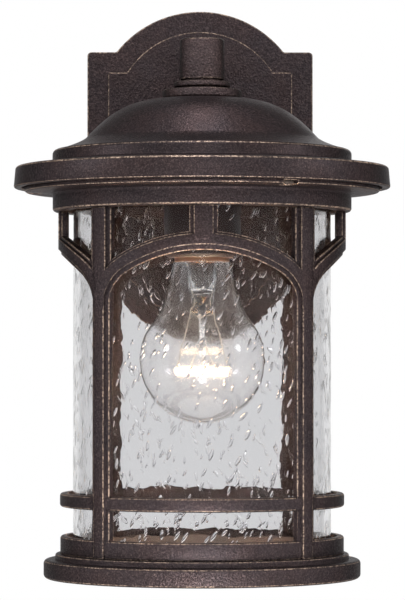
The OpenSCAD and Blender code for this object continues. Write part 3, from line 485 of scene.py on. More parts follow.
def makePebbleGroup():  # the pebbled powder coat with its rubbed edges
    s = pebbleSet
    group, start, end, coords = startGroup("pebbledCoat", bronzeSet, surfaceOutputs)
    # rubbed is the worn edges' copper and also the colour of the painted glints
    coat, rubbed = start.outputs["Coat Color"], start.outputs["Rubbed And Glint Color"]
    pebbles = addNoise(group, coords, start.outputs["Pebble Scale"], s["detail"], s["rough"])
    fine, gritty, cloudy, patchy = (
        addNoise(group, coords, *s[noise]) for noise in ("fine", "gritty", "cloudy", "patchy")
    )
    dips = tintColor(group, coat, s["dipTint"])
    color = mixColor(group, rampValue(group, pebbles, *s["crests"]), dips, coat)
    grit = tintColor(group, color, s["gritTint"])
    color = mixColor(group, rampValue(group, gritty, *s["grits"]), color, grit)
    warm = tintColor(group, color, s["warmTint"])
    color = mixColor(group, rampValue(group, cloudy, *s["clouds"]), color, warm)
    # painted glints: bright specks of the rubbed colour on the pebble crests
    speck = addMath(group, "GREATER_THAN", fine, s["glintFrom"])
    speck = addMath(group, "MULTIPLY", speck, rampValue(group, pebbles, *s["glintCrests"]))
    color = mixColor(group, addMath(group, "MULTIPLY", speck, s["glintShare"]), color, rubbed)
    crests = rampValue(group, pebbles, *s["rubbedCrests"])
    broken = addMath(group, "MULTIPLY", crests, rampValue(group, patchy, *s["patches"]))
    kept = addMath(group, "MULTIPLY_ADD", broken, 1 - s["leastRubbed"], s["leastRubbed"])
    stretches = rampValue(group, cloudy, *s["stretches"])  # whole stretches of an edge are rubbed less
    stretch = addMath(group, "MULTIPLY_ADD", stretches, 1 - s["leastStretch"], s["leastStretch"])
    kept = addMath(group, "MULTIPLY", kept, stretch)
    worn = addNode(group, "ShaderNodeAttribute", attribute_name="wear").outputs["Fac"]
    worn = addMath(group, "MULTIPLY", worn, kept)
    worn = addMath(group, "MULTIPLY", worn, start.outputs["Rubbing"], clamp=True)
    feed(group, mixColor(group, worn, color, rubbed), end.inputs["Color"])
    rough = addMath(group, "MULTIPLY_ADD", pebbles, s["roughMore"], s["roughness"])
    feed(group, rough, end.inputs["Roughness"])
    height = addMath(group, "MULTIPLY_ADD", fine, s["fineHeight"], pebbles)
    feed(group, addBump(group, height, start.outputs["Pebble Depth"]), end.inputs["Normal"])
    return group


plainSet = {
    "Color": (0.5, 0.5, 0.5, 1),
    "Dirt Color": (0.2, 0.18, 0.15, 1),
    "Dirt": 0.3,
    "Roughness": 0.35,
    "Spread": 0.15,
    "Depth": 0.00002,
}
grainSet = {"grain": (2600.0, 2.0, 0.6), "blotch": (190.0, 3.0, 0.6), "blotches": (0.45, 0.75)}


def makeGrainGroup():  # fine brushing, blotches and a little dirt for small metal and plastic parts
    s = grainSet
    group, start, end, coords = startGroup("plainGrain", plainSet, surfaceOutputs)
    grain = addNoise(group, coords, *s["grain"])
    blotch = addNoise(group, coords, *s["blotch"])
    dirty = addMath(group, "MULTIPLY", rampValue(group, blotch, *s["blotches"]), start.outputs["Dirt"])
    color = mixColor(group, dirty, start.outputs["Color"], start.outputs["Dirt Color"])
    feed(group, color, end.inputs["Color"])
    spread = addMath(group, "MULTIPLY", grain, start.outputs["Spread"])
    feed(group, addMath(group, "ADD", spread, start.outputs["Roughness"]), end.inputs["Roughness"])
    feed(group, addBump(group, grain, start.outputs["Depth"]), end.inputs["Normal"])
    return group


hazeSet = {"Share": 0.03, "Roughness": 0.28}
hazeCell = 0.0001  # the size of a speck in metres
hazeFall = 1.4  # more leaves fewer of the specks rough


def makeHazeGroup():  # a fine bloom of dust on clear glass
    group, start, end, coords = startGroup("fineHaze", hazeSet, {"Roughness": "NodeSocketFloat"})
    cell = addNode(group, "ShaderNodeVectorMath", operation="SNAP")
    cell.inputs[1].default_value = (hazeCell, hazeCell, hazeCell)
    feed(group, coords, cell.inputs[0])
    dust = addNode(group, "ShaderNodeTexWhiteNoise", noise_dimensions="3D")
    joinNodes(group, cell, 0, dust, "Vector")
    dusty = addMath(group, "LESS_THAN", dust.outputs["Value"], start.outputs["Share"])
    spread = addMath(group, "DIVIDE", dust.outputs["Value"], start.outputs["Share"])
    spread = addMath(group, "POWER", spread, hazeFall)
    spread = addMath(group, "MULTIPLY", spread, start.outputs["Roughness"])
    feed(group, addMath(group, "MULTIPLY", dusty, spread), end.inputs["Roughness"])
    return group


pebbledCoat = makePebbleGroup()
plainGrain = makeGrainGroup()
fineHaze = makeHazeGroup()


def newMaterial(name):
    material = bpy.data.materials.new(name)
    material.use_nodes = True
    tree = material.node_tree
    return material, tree, tree.nodes["Principled BSDF"]


def placeGroup(tree, group, values):
    node = addNode(tree, "ShaderNodeGroup", node_tree=group)
    setInputs(node, values)
    return node


def turnedAway(tree, low, high):  # 0 where the surface faces the eye, 1 at its outline
    facing = addNode(tree, "ShaderNodeLayerWeight").outputs["Facing"]
    return rampValue(tree, facing, low, high)


sheenSet = {"Metallic": 0.6, "Specular IOR Level": 0.03, "Specular Tint": (0.15, 0.15, 0.15, 1)}
coatShadeTurn = (0.08, 0.6)  # how far a coat turns away before its painted shade starts, and where that shade is darkest
glassTurn = (0.28, 1.0)  # the same for glass that darkens


def coatMaterial(name, values, slanted):
    material, tree, shader = newMaterial(name)
    coat = placeGroup(tree, pebbledCoat, {**bronzeSet, **values})
    color = coat.outputs["Color"]
    if slanted < 1.0:  # painted shade: the coat's colour is darkened where it turns away from the eye
        paintedShade = tintColor(tree, color, (slanted, slanted, slanted, 1))
        color = mixColor(tree, turnedAway(tree, *coatShadeTurn), color, paintedShade)
    feed(tree, color, shader.inputs["Base Color"])
    joinNodes(tree, coat, "Roughness", shader, "Roughness")
    joinNodes(tree, coat, "Normal", shader, "Normal")
    setInputs(shader, sheenSet)
    return material


def grainMaterial(name, values, metallic):
    material, tree, shader = newMaterial(name)
    grain = placeGroup(tree, plainGrain, values)
    joinNodes(tree, grain, "Color", shader, "Base Color")
    joinNodes(tree, grain, "Roughness", shader, "Roughness")
    joinNodes(tree, grain, "Normal", shader, "Normal")
    shader.inputs["Metallic"].default_value = metallic
    return material


def glassMaterial(name, color, ior, waves=None, haze=0.0, mirror=1.0, rim=0.0, slanted=1.0):
    material, tree, shader = newMaterial(name)
    setInputs(shader, {
        "Base Color": color, "Roughness": 0.0, "IOR": ior, "Transmission Weight": 1.0,
        "Specular Tint": (mirror, mirror, mirror, 1), "Sheen Weight": rim, "Sheen Roughness": 0.38,
    })
    if slanted < 1.0:  # glass seen at a slant is thicker and so darker
        deep = (color[0] * slanted, color[1] * slanted, color[2] * slanted, 1)
        feed(tree, mixColor(tree, turnedAway(tree, *glassTurn), color, deep), shader.inputs["Base Color"])
    if haze:
        joinNodes(tree, placeGroup(tree, fineHaze, {"Share": haze}), "Roughness", shader, "Roughness")
    if waves:
        coords = addNode(tree, "ShaderNodeTexCoord").outputs["Object"]
        scale, depth = waves
        swell = addNoise(tree, coords, scale, 1.5, 0.4)
        feed(tree, addBump(tree, swell, depth), shader.inputs["Normal"])
    clear = addNode(tree, "ShaderNodeBsdfTransparent")  # for shadows
    clear.inputs["Color"].default_value = color
    mix = addNode(tree, "ShaderNodeMixShader")
    joinNodes(tree, addNode(tree, "ShaderNodeLightPath"), "Is Shadow Ray", mix, 0)
    joinNodes(tree, shader, 0, mix, 1)
    joinNodes(tree, clear, 0, mix, 2)
    joinNodes(tree, mix, 0, tree.nodes["Material Output"], "Surface")
    return material


def glowMaterial(name, body, color, hotColor, strength, spots):
    material, tree, shader = newMaterial(name)
    coords = addNode(tree, "ShaderNodeTexCoord").outputs["Object"]
    flicker = addNoise(tree, coords, spots, 1.0)
    setInputs(shader, {"Base Color": body, "Emission Strength": strength, "Roughness": 0.6})
    feed(tree, mixColor(tree, flicker, color, hotColor), shader.inputs["Emission Color"])
    return material


coatSets = {  # the material's name, what differs from bronzeSet, and the share of its colour kept at a slant, where painted shade darkens it
    "bronze": ("bronzeCoat", {}, 1.0),
    "spun_bronze": ("spunBronzeCoat", {"Pebble Depth": 0.00016}, 1.0),  # the spun roof is smoother
    "arm_bronze": (  # painted light: the arm's coat colour is made lighter than the bronze, and painted shade darkens it at its outline
        "armPaintedLightCoat", {"Coat Color": (0.094, 0.073, 0.074, 1), "Pebble Depth": 0.0006, "Rubbing": 0.7}, 0.4,
    ),
    "plate_bronze": ("plateCoat", {"Pebble Depth": 0.00062, "Rubbing": 0.7}, 1.0),
    "foot_bronze": ("footCoat", {"Rubbing": 0.75}, 1.0),  # the foot's edges are rubbed less
}
grainSets = {  # how metallic each is, and what differs from plainSet
    "foam": (0.0, {"Color": (0.03, 0.03, 0.03, 1), "Dirt": 0.1, "Roughness": 0.75, "Depth": 0.0003}),
    "zinc_steel": (1.0, {
        "Color": (0.50, 0.50, 0.49, 1), "Dirt Color": (0.36, 0.34, 0.29, 1), "Dirt": 0.4, "Roughness": 0.34,
    }),
    "green_screw": (0.6, {"Color": (0.02, 0.22, 0.06, 1), "Dirt": 0.2, "Roughness": 0.3}),
    "brass_tube": (1.0, {
        "Color": (0.78, 0.55, 0.24, 1), "Dirt Color": (0.35, 0.22, 0.09, 1), "Dirt": 0.4, "Roughness": 0.25,
    }),
    "phenolic": (0.0, {
        "Color": (0.018, 0.006, 0.005, 1), "Dirt Color": (0.03, 0.015, 0.01, 1), "Dirt": 0.3,
        "Roughness": 0.4,
    }),
    "copper_shell": (1.0, {
        "Color": (0.20, 0.10, 0.065, 1), "Dirt Color": (0.4, 0.2, 0.1, 1), "Dirt": 0.35, "Roughness": 0.25,
    }),
    "black_wire": (0.0, {"Color": (0.015, 0.015, 0.016, 1), "Dirt": 0.05, "Roughness": 0.38}),
    "white_wire": (0.0, {
        "Color": (0.80, 0.79, 0.74, 1), "Dirt Color": (0.55, 0.50, 0.40, 1), "Dirt": 0.2, "Roughness": 0.4,
    }),
    "bare_copper": (1.0, {
        "Color": (0.83, 0.44, 0.26, 1), "Dirt Color": (0.35, 0.18, 0.10, 1), "Dirt": 0.5, "Roughness": 0.3,
    }),
    "connector_plastic": (0.0, {"Color": (0.70, 0.20, 0.03, 1), "Dirt": 0.1, "Roughness": 0.45}),
    "dark_screw": (0.3, {
        "Color": (0.05, 0.042, 0.04, 1), "Dirt Color": (0.25, 0.17, 0.12, 1), "Dirt": 0.4, "Roughness": 0.4,
    }),
    "rubber_channel": (0.0, {
        "Color": (0.060, 0.040, 0.033, 1), "Dirt": 0.15, "Roughness": 0.6, "Depth": 0.00008,
    }),
    "nickel_wire": (1.0, {"Color": (0.60, 0.56, 0.50, 1), "Dirt": 0.1, "Roughness": 0.25}),
    "cap_metal": (1.0, {
        "Color": (0.46, 0.25, 0.16, 1), "Dirt Color": (0.45, 0.33, 0.18, 1), "Dirt": 0.4, "Roughness": 0.25,
    }),
    "black_glass": (0.0, {"Color": (0.012, 0.012, 0.014, 1), "Dirt": 0.05, "Roughness": 0.12}),
    "solder": (1.0, {"Color": (0.60, 0.60, 0.58, 1), "Dirt": 0.3, "Roughness": 0.35}),
}
glassSets = {  # waves are the scale and depth of a noise
    "seeded_glass": {
        "name": "seededGlass", "color": (0.79, 0.79, 0.80, 1), "ior": 1.5, "mirror": 0.12, "slanted": 0.70,
        "waves": (130.0, 0.00012),
    },
    "seed_wall": {"name": "seedWall", "color": (0.97, 0.97, 0.98, 1), "ior": 1.2, "rim": 1.0},
    "bulb_clear_glass": {"name": "bulbGlass", "color": (0.985, 0.985, 0.99, 1), "ior": 1.48, "haze": 0.5},
    "stem_glass": {
        "name": "stemGlass", "color": (0.94, 0.955, 0.95, 1), "ior": 1.55,
        "waves": (500.0, 0.0001),
    },
}
glowSet = {
    "body": (0.2, 0.16, 0.12, 1), "color": (1.0, 0.57, 0.24, 1), "hotColor": (1.0, 0.88, 0.66, 1),
    "strength": 1050.0, "spots": 900.0,
}
finish = {slotName: coatMaterial(*values) for slotName, values in coatSets.items()}
for slotName, (metallic, values) in grainSets.items():
    finish[slotName] = grainMaterial(slotName + "Finish", values, metallic)
for slotName, glassValues in glassSets.items():
    finish[slotName] = glassMaterial(**glassValues)
finish["tungsten"] = glowMaterial("litTungsten", **glowSet)
print("finishes mixed:", len(finish))

slotOf = {row["node"]: row["material_slot"] for row in frame["record"]["subparts"]}
for nodeName, item in nodes.items():
    for slotIndex in range(len(item.material_slots)):
        item.material_slots[slotIndex].material = finish[slotOf[nodeName]]
    if not item.material_slots:
        item.data.materials.append(finish[slotOf[nodeName]])
print("nodes finished:", len(nodes))

roofSet = {
    "hole": 5.25, "crownZ": 30.3, "seatR": 17.8, "domePull": ((34, 29.6), (43, 24.6)),
    "domeR": 55.0, "domeTurn": 11.6, "flarePull": ((56.5, 10.0), (62, 7.6)), "flareR": 68.4,
    "stepR": 71.0, "stepTop": 5.8, "stepFoot": -0.5, "stepRound": 2.2, "creaseRound": 0.8,
    "brimR": 88.6, "brimTop": -2.2, "brimRound": 1.5, "brimFootR": 89.3, "brimFoot": -12.3, "footRound": 0.9,
    "lip": 3.7, "lipRound": 0.6, "wall": 2.5, "wallRound": 1.6, "stepWall": 3.5, "steps": 144,
    "bossR": 5.6, "bossRing": 80.0, "bossAngles": (-62, 58, 178), "bossFoot": -11.3, "bossTop": -3.2,
    "bossSides": 28, "bossEdge": 0.6,
}


def buildRoof():
    s = roofSet
    bend = (s["domeR"], s["domeTurn"])
    dome = curvePoints((s["seatR"], s["crownZ"]), *s["domePull"], bend, 22)
    flare = curvePoints(bend, *s["flarePull"], (s["flareR"], s["stepTop"]), 10)
    outer = [(s["hole"], s["crownZ"])] + dome + flare[1:]
    outer += roundAt((s["stepR"], s["stepTop"]), (-1, -1), s["stepRound"], 76, 0, 5)
    outer += roundAt((s["stepR"], s["stepFoot"]), (1, 1), s["creaseRound"], 180, 265, 3)
    outer += roundAt((s["brimR"], s["brimTop"]), (-1, -1), s["brimRound"], 84, 2, 5)
    outer += roundAt((s["brimFootR"], s["brimFoot"]), (-1, 1), s["footRound"], 0, -90, 4)
    inner = roundAt((s["brimFootR"] - s["lip"], s["brimFoot"]), (1, 1), s["lipRound"], -90, -180, 3)
    inner += roundAt((s["brimR"] - s["lip"], s["brimTop"] - s["wall"]), (-1, -1), s["wallRound"], 0, 84, 4)
    inner += [(s["stepR"] - s["wall"], s["stepFoot"] - s["wall"])]
    inner += [(s["stepR"] - s["wall"], s["stepTop"] - s["stepWall"])]
    for points in (flare, dome):
        offset = []
        for a, b in zip(points, points[1:]):
            along = Vector((b[0] - a[0], b[1] - a[1])).normalized()
            offset.append(((a[0] + b[0]) / 2 + along.y * s["wall"], (a[1] + b[1]) / 2 - along.x * s["wall"]))
        inner += offset[::-1]
    inner.append((s["hole"], s["crownZ"] - s["wall"]))
    roof = turnedPiece("roofShell", outer + inner, s["steps"])
    bosses = []
    for angle in s["bossAngles"]:
        place = onRing(s["bossRing"], angle, (s["bossFoot"] + s["bossTop"]) / 2)
        boss = addRod("roofBoss", place, s["bossR"], s["bossTop"] - s["bossFoot"], s["bossSides"])
        softenEdges(boss, s["bossEdge"], 2)
        bosses.append(boss)
    joinPieces(*bosses, roof)
    smoothByAngle(roof, 30)
    markWear(roof)
    return roof


roofShell = buildRoof()
dress(roofShell, finish["spun_bronze"], "root", "bronze", "roof")
print("roof turned:", len(roofShell.data.polygons))

onAxis = (0, axisY, 0)
sectors = [(onAxis, (math.sin(math.radians(a)), math.cos(math.radians(a)), 0)) for a in (0, 45, 90, 135)]
halves = ((0, 0, 0), (1, 0, 0))
plateCuts = [halves] + [((0, 0, z), (0, 0, 1)) for z in (-0.030, 0.0, 0.030)]
strapCuts = [halves, ((0, 0, 0), (0, 0, 1))]
castSet = {  # the width of the softened edges is in mm
    "backplate": {
        "name": "backPlate", "width": 0.55, "segments": 3, "cuts": plateCuts, "finish": "plate_bronze",
    },
    "arm": {"name": "armCasting", "width": 0.5, "finish": "arm_bronze"},
    "neck_ring": {"name": "neckRing", "width": 0.25, "finish": "arm_bronze"},
    "neck_collar": {"name": "neckCollar", "width": 0.25, "finish": "arm_bronze"},
    "cage_top_ring": {"name": "topRing", "width": 0.3, "cuts": sectors},
    "cage_frame": {"name": "cageFrame", "width": 0.42, "cuts": sectors},
    "foot_ring": {"name": "footRing", "width": 0.3, "cuts": sectors, "finish": "foot_bronze"},
    "socket_body": {"name": "socketBody", "width": 0.5, "finish": "phenolic"},
    "mounting_studs": {"name": "mountingStuds", "width": 0.35, "finish": "zinc_steel"},
    "ground_screw": {"name": "groundScrew", "width": 0.4, "segments": 3, "finish": "green_screw"},
    "mounting_plate": {"name": "mountingPlate", "width": 0.3, "cuts": strapCuts, "finish": "zinc_steel"},
}
plainCast = {"segments": 2, "cuts": [], "finish": "bronze"}
flatFace = 1e-5  # in square metres; larger faces of bare sheet metal stay flat


def buildCasting(nodeName, s):
    casting = copyOfNode(nodeName, s["name"])
    cutAlong(casting, s["cuts"])
    softenEdges(casting, s["width"], s["segments"])
    smoothByAngle(casting, 32)
    markWear(casting)
    if s["finish"] == "zinc_steel":
        for face in casting.data.polygons:
            face.use_smooth = face.area < flatFace
    return casting


for nodeName, castValues in castSet.items():
    castValues = {**plainCast, **castValues}
    casting = buildCasting(nodeName, castValues)
    dress(casting, finish[castValues["finish"]], "root", slotOf[nodeName], nodeName)
    print("softened", castValues["name"], len(casting.data.polygons))

screwSets = {  # in mm; the head's face is at "face" and its shank ends at "tip"
    "cage_screws": {
        "name": "roofScrews", "ring": 80.0, "angles": (-62, 58, 178), "headR": 3.3, "headH": 1.5,
        "shankR": 1.9, "face": -14.1, "tip": -5.6, "finish": "dark_screw",
    },
    "foot_join_screws": {
        "name": "footScrews", "ring": 66.2, "angles": (45, 135, 225, 315), "headR": 2.1, "headH": 1.8,
        "shankR": 1.2, "face": -196.0, "tip": -174.9, "finish": "zinc_steel",
    },
    "clip_screws": {
        "name": "clipScrews", "ring": 67.3, "angles": (-2, 118, 238), "headR": 2.1, "headH": 1.4,
        "shankR": 1.2, "face": -8.7, "tip": -15.3, "finish": "zinc_steel",
    },
}
recessSet = {
    "long": 1.15, "wide": 0.26,  # shares of the head's radius
    "deep": 0.9, "headEdge": 0.25,  # shares of the head's height
    "tipEdge": 0.3,  # a share of the shank's radius
    "bite": 0.05,  # how far the shank reaches into the head
    "turn": 0.5,  # in radians
}


def buildScrews(s):
    cut = recessSet
    facing = 1 if s["face"] > s["tip"] else -1
    head = addRod("screwHead", (0, 0, s["face"] - facing * s["headH"] / 2), s["headR"], s["headH"])
    softenEdges(head, s["headH"] * cut["headEdge"], 3)
    long, wide, deep = s["headR"] * cut["long"], s["headR"] * cut["wide"], s["headH"] * cut["deep"]
    for size in ((long, wide, deep), (wide, long, deep)):
        cutAway(head, addBlock("recess", (0, 0, s["face"]), size))
    neck = s["face"] - facing * (s["headH"] - cut["bite"])
    shank = addRod("screwShank", (0, 0, (neck + s["tip"]) / 2), s["shankR"], abs(s["tip"] - neck), 20)
    softenEdges(shank, s["shankR"] * cut["tipEdge"], 1)
    screw = joinPieces(shank, head)
    copies = []
    for angle in s["angles"]:
        turned = Matrix.Rotation(math.radians(angle) + cut["turn"], 4, "Z")
        spot = Matrix.Translation(toMetres(onRing(s["ring"], angle)))
        copies.append(placedCopy(screw, s["name"] + "Copy", spot @ turned))
    bpy.data.objects.remove(screw)
    joinPieces(*copies)
    screws = startPiece(s["name"])
    smoothByAngle(screws, 40)
    return screws


for nodeName, screwValues in screwSets.items():
    dress(buildScrews(screwValues), finish[screwValues["finish"]], "root", screwValues["finish"], nodeName)
print("screws made:", len(screwSets))

connectorSet = {
    "wideR": 4.6, "tipR": 3.1, "length": 20.0, "start": 15.0, "depth": -5.6, "height": 49.0, "pitch": 1.4,
    "ribs": 20, "groove": 0.35, "grooveRim": 0.08, "edge": 0.14, "bore": 3.2, "boreDepth": 9.0,
    "wing": (7.5, 1.5, 11.4), "wingShift": 4.5, "wingEdge": 0.5, "clearance": 0.4,
}


def buildCone(centre, side):  # a ribbed cone with its bore at the wide end
    s = connectorSet
    pickNothing()
    bpy.ops.mesh.primitive_cone_add(
        vertices=s["ribs"] * 2, radius1=s["wideR"] / 1000, radius2=s["tipR"] / 1000, depth=s["length"] / 1000,
        location=toMetres(centre), rotation=(0, side * math.pi / 2, 0),
    )
    cone = startPiece("connectorCone")
    settle(cone)
    bpy.ops.object.mode_set(mode="EDIT")
    work = bmesh.from_edit_mesh(cone.data)
    bpy.ops.mesh.select_all(action="DESELECT")
    for index, face in enumerate(face for face in work.faces if len(face.edges) == 4):
        face.select_set(index % 2 == 0)
    bmesh.update_edit_mesh(cone.data)
    bpy.ops.mesh.inset(thickness=s["grooveRim"] / 1000, depth=-s["groove"] / 1000, use_individual=True)
    bpy.ops.mesh.select_all(action="DESELECT")
    work = bmesh.from_edit_mesh(cone.data)
    for face in work.faces:  # the wide end
        face.select_set(len(face.edges) > 4 and face.normal.x * side < -0.9)
    bmesh.update_edit_mesh(cone.data)
    bpy.ops.mesh.inset(thickness=(s["wideR"] - s["bore"]) / 1000)
    bpy.ops.mesh.extrude_region_move(TRANSFORM_OT_translate={"value": (side * s["boreDepth"] / 1000, 0, 0)})
    toObjectMode()
    softenEdges(cone, s["edge"], 1, 55)
    return cone


def buildConnectors():
    s = connectorSet
    pieces = []
    for side in (-1, 1):
        centre = (side * (s["start"] + s["length"] / 2), s["depth"], s["height"] - side * s["pitch"])
        pieces.append(buildCone(centre, side))
        wing = addBlock("connectorWing", (centre[0] - side * s["wingShift"], *centre[1:]), s["wing"])
        softenEdges(wing, s["wingEdge"], 2)
        coreR = s["bore"] + s["clearance"]
        core = addRod("connectorCore", centre, coreR, s["length"], 24, side * math.pi / 2)
        cutAway(wing, core)  # keeps the wings out of the bore
        pieces.append(wing)
    joinPieces(*pieces)
    connectors = startPiece("wireConnectors")
    smoothByAngle(connectors, 35)
    return connectors


dress(buildConnectors(), finish["connector_plastic"], "root", "connector_plastic", "wire_connectors")
print("connectors made")

glassSet = {
    "outR": 61.2, "wall": 3.0, "low": -183.4, "high": -12.9, "rounding": 0.8, "steps": 160,
    "rows": 56, "rowMargin": 2, "swell": 0.10, "swellSize": 0.011, "swellRest": 0.9,
}
seedSet = {  # the low crowd is an extra lot of shorter seeds near the foot
    "seeds": 1560, "lowCrowd": 200, "crowdHeight": 32, "crowdShare": 0.7, "crowdMore": 0.3, "margin": 3,
    "length": (2.6, 5.8), "shortBias": 1.4, "width": (0.23, 0.34), "widthMore": 0.12, "thick": 0.65,
    "lean": 22.0, "leanSpread": 9, "skin": 0.15,
}


def buildGlass():
    s = glassSet
    inR = s["outR"] - s["wall"]
    first, last = s["low"] + s["rowMargin"], s["high"] - s["rowMargin"]
    heights = [first + (last - first) * i / s["rows"] for i in range(s["rows"] + 1)]
    corners = [(inR, s["low"], s["rounding"]), (s["outR"], s["low"], s["rounding"])]
    corners += [(s["outR"], z) for z in heights]
    corners += [(s["outR"], s["high"], s["rounding"]), (inR, s["high"], s["rounding"])]
    corners += [(inR, z) for z in heights[::-1]]
    glass = turnedPiece("glassCylinder", roundCorners(corners), s["steps"])
    clouds = bpy.data.textures.new("glassSwell", "CLOUDS")
    clouds.noise_scale = s["swellSize"]
    clouds.noise_depth = 0
    swell = glass.modifiers.new("swell", "DISPLACE")
    swell.texture = clouds
    swell.texture_coords = "LOCAL"
    swell.strength = s["swell"] / 1000
    swell.mid_level = s["swellRest"]
    applyModifiers(glass)
    return glass


def buildSeeds(glass):
    s = {**glassSet, **seedSet}
    draw = random.Random(41)
    pickNothing()
    bpy.ops.mesh.primitive_uv_sphere_add(segments=8, ring_count=6, radius=0.0005, location=(0, 0, 0))
    seed = startPiece("seed")
    seed.data.materials.append(finish["seed_wall"])
    glass.data.materials.append(finish["seeded_glass"])
    editAll()
    bpy.ops.mesh.flip_normals()  # a seed is a hollow in the glass
    toObjectMode()
    seeds = []
    middleR = s["outR"] - s["wall"] / 2
    for index in range(s["seeds"] + s["lowCrowd"]):
        length = s["length"][0] + (s["length"][1] - s["length"][0]) * draw.random() ** s["shortBias"]
        width = length * draw.uniform(*s["width"]) + s["widthMore"]
        deep = width * s["thick"]
        low, high = s["low"] + s["margin"], s["high"] - s["margin"]
        if index >= s["seeds"]:
            high = low + s["crowdHeight"]
            length = length * s["crowdShare"] + s["crowdMore"]
        height = draw.uniform(low, high)
        around = draw.uniform(0, 2 * math.pi)
        radius = middleR + draw.uniform(-1, 1) * (s["wall"] / 2 - deep / 2 - s["skin"])
        lean = math.radians(s["lean"] + draw.gauss(0, s["leanSpread"]))
        place = (
            Matrix.Translation((0, axisY, height / 1000))
            @ Matrix.Rotation(around, 4, "Z")
            @ Matrix.Translation((0, -radius / 1000, 0))
            @ Matrix.Rotation(lean, 4, "Y")
            @ Matrix.Diagonal((width, deep, length, 1))
        )
        seeds.append(placedCopy(seed, "seedCopy", place))
    joinPieces(*seeds, glass)
    bpy.data.objects.remove(seed)
    return glass


glassCylinder = buildSeeds(buildGlass())
smoothByAngle(glassCylinder, 60)
dress(glassCylinder, None, "root", "seeded_glass", "glass_cylinder")
print("glass seeded:", len(glassCylinder.data.polygons))

bulbSet = {
    "ballR": 29.9, "ballZ": -93.8, "blend": 42, "shoulder": 5.4, "neckPull": (3.2, -13), "neckR": 13.6,
    "rimZ": -47.1, "rimDrop": 0.4, "wall": 0.7, "steps": 96,
    "tubeR": 11.75, "tubeStart": 0.2, "tubeTop": 6, "tubeFoot": -1,  # heights above the rim
}


def bulbSide(inset):  # from the foot of the ball to the neck's rim
    s = bulbSet
    arc = arcPoints((0, s["ballZ"]), s["ballR"] - inset, -90, s["blend"], 30)
    turn = math.radians(s["blend"])
    along = Vector((-math.sin(turn), math.cos(turn)))
    start = Vector(arc[-1])
    pull = (s["neckR"] + s["neckPull"][0] - inset, s["rimZ"] + s["neckPull"][1])
    rim = (s["neckR"] - inset, s["rimZ"] - s["rimDrop"])
    return arc + curvePoints(tuple(start), tuple(start + along * s["shoulder"]), pull, rim, 14)[1:]


def buildBulb():
    s = bulbSet
    tubeIn = s["tubeR"] - s["wall"]
    tube = [(s["tubeR"], s["rimZ"] + s["tubeStart"]), (s["tubeR"], s["rimZ"] + s["tubeTop"])]
    tube += [(tubeIn, s["rimZ"] + s["tubeTop"]), (tubeIn, s["rimZ"] + s["tubeFoot"])]
    outline = bulbSide(0) + tube + bulbSide(s["wall"])[::-1]
    bulb = turnedPiece("bulbGlass", outline, s["steps"], closed=False)
    smoothByAngle(bulb, 50)
    return bulb


bulbGlass = buildBulb()
dress(bulbGlass, finish["bulb_clear_glass"], "lamp", "bulb_clear_glass", "bulb_glass")

stemSet = {
    "flare": (
        (0, -60.5), (4.6, -59.5), (5.9, -56.0), (6.3, -50.5), (7.6, -46.6), (10.2, -43.6), (10.6, -42.5),
        (11.0, -43.2), (8.6, -47.2), (7.2, -51.0), (6.9, -58.0), (6.2, -61.0), (4.4, -63.6), (2.6, -65.8),
    ),
    "rod": (
        (1.8, -68.5), (1.6, -74.0), (1.6, -82.6), (2.2, -84.0), (2.5, -85.2), (2.1, -86.4), (0, -86.9),
    ),
    "pressHalf": 5.4, "pressDeep": 3.0, "pressTop": -61.5, "pressFoot": -67.2, "pressEdge": 1.1, "steps": 48,
}


def buildStem():
    s = stemSet
    stem = turnedPiece("bulbStem", s["flare"] + s["rod"], s["steps"], closed=False)
    place = (0, axisY * 1000, (s["pressTop"] + s["pressFoot"]) / 2)
    size = (s["pressHalf"] * 2, s["pressDeep"], s["pressTop"] - s["pressFoot"])
    press = addBlock("stemPress", place, size)
    softenEdges(press, s["pressEdge"], 3)
    joinPieces(press, stem)
    smoothByAngle(stem, 50)
    return stem


bulbStem = buildStem()
dress(bulbStem, finish["stem_glass"], "lamp", "stem_glass", "bulb_stem")

wireSet = {  # routes in mm, x and y from the axis
    "radius": 0.28,
    "lead": (
        (-3.6, 0, -60.0), (-3.8, 0, -67.4), (-5.6, -0.4, -69.6),
        (-5.9, -0.6, -72.2), (-7.4, -0.2, -79.0), (-12.2, 0, -98.2),
    ),
    "bridge": (
        (-5.9, -0.6, -70.2), (-4.2, -2.0, -73.0), (-1.0, -2.6, -73.8), (3.0, -2.2, -73.2), (5.9, 0.6, -72.4),
    ),
    "sideHook": ((0, 0, -85.6), (-1.6, -0.2, -87.2), (-6.2, 0, -97.3)),
    "middleHook": ((0, 0, -85.6), (0.1, -1.6, -88.0), (0, -0.8, -97.2)),
}


def halfTurn(route):
    return [(-x, -y, z) for x, y, z in route]


def bentWire(name, route, radius):  # a round wire through points in mm, x and y from the axis
    pickNothing()
    bpy.ops.curve.primitive_bezier_curve_add(radius=0.001, location=(0, 0, 0))
    wire = bpy.context.object
    wire.name = name
    spline = wire.data.splines[0]
    spline.bezier_points.add(len(route) - 2)
    for point, (x, y, z) in zip(spline.bezier_points, route):
        point.handle_left_type = point.handle_right_type = "AUTO"
        point.co = (x / 1000, axisY + y / 1000, z / 1000)
    spline.resolution_u = 6
    wire.data.bevel_depth = radius / 1000
    wire.data.bevel_resolution = 2
    wire.data.use_fill_caps = True
    pickOnly(wire)
    bpy.ops.object.convert(target="MESH")
    return bpy.context.object


def buildWires():
    s = wireSet
    routes = [s["lead"], halfTurn(s["lead"]), s["bridge"]]
    routes += [s["sideHook"], s["middleHook"], halfTurn(s["sideHook"])]
    joinPieces(*[bentWire("lampWire", route, s["radius"]) for route in routes])
    piece = startPiece("lampWires")
    smoothByAngle(piece, 60)
    return piece


lampWires = buildWires()
dress(lampWires, finish["nickel_wire"], "lamp", "nickel_wire", "bulb_supports")

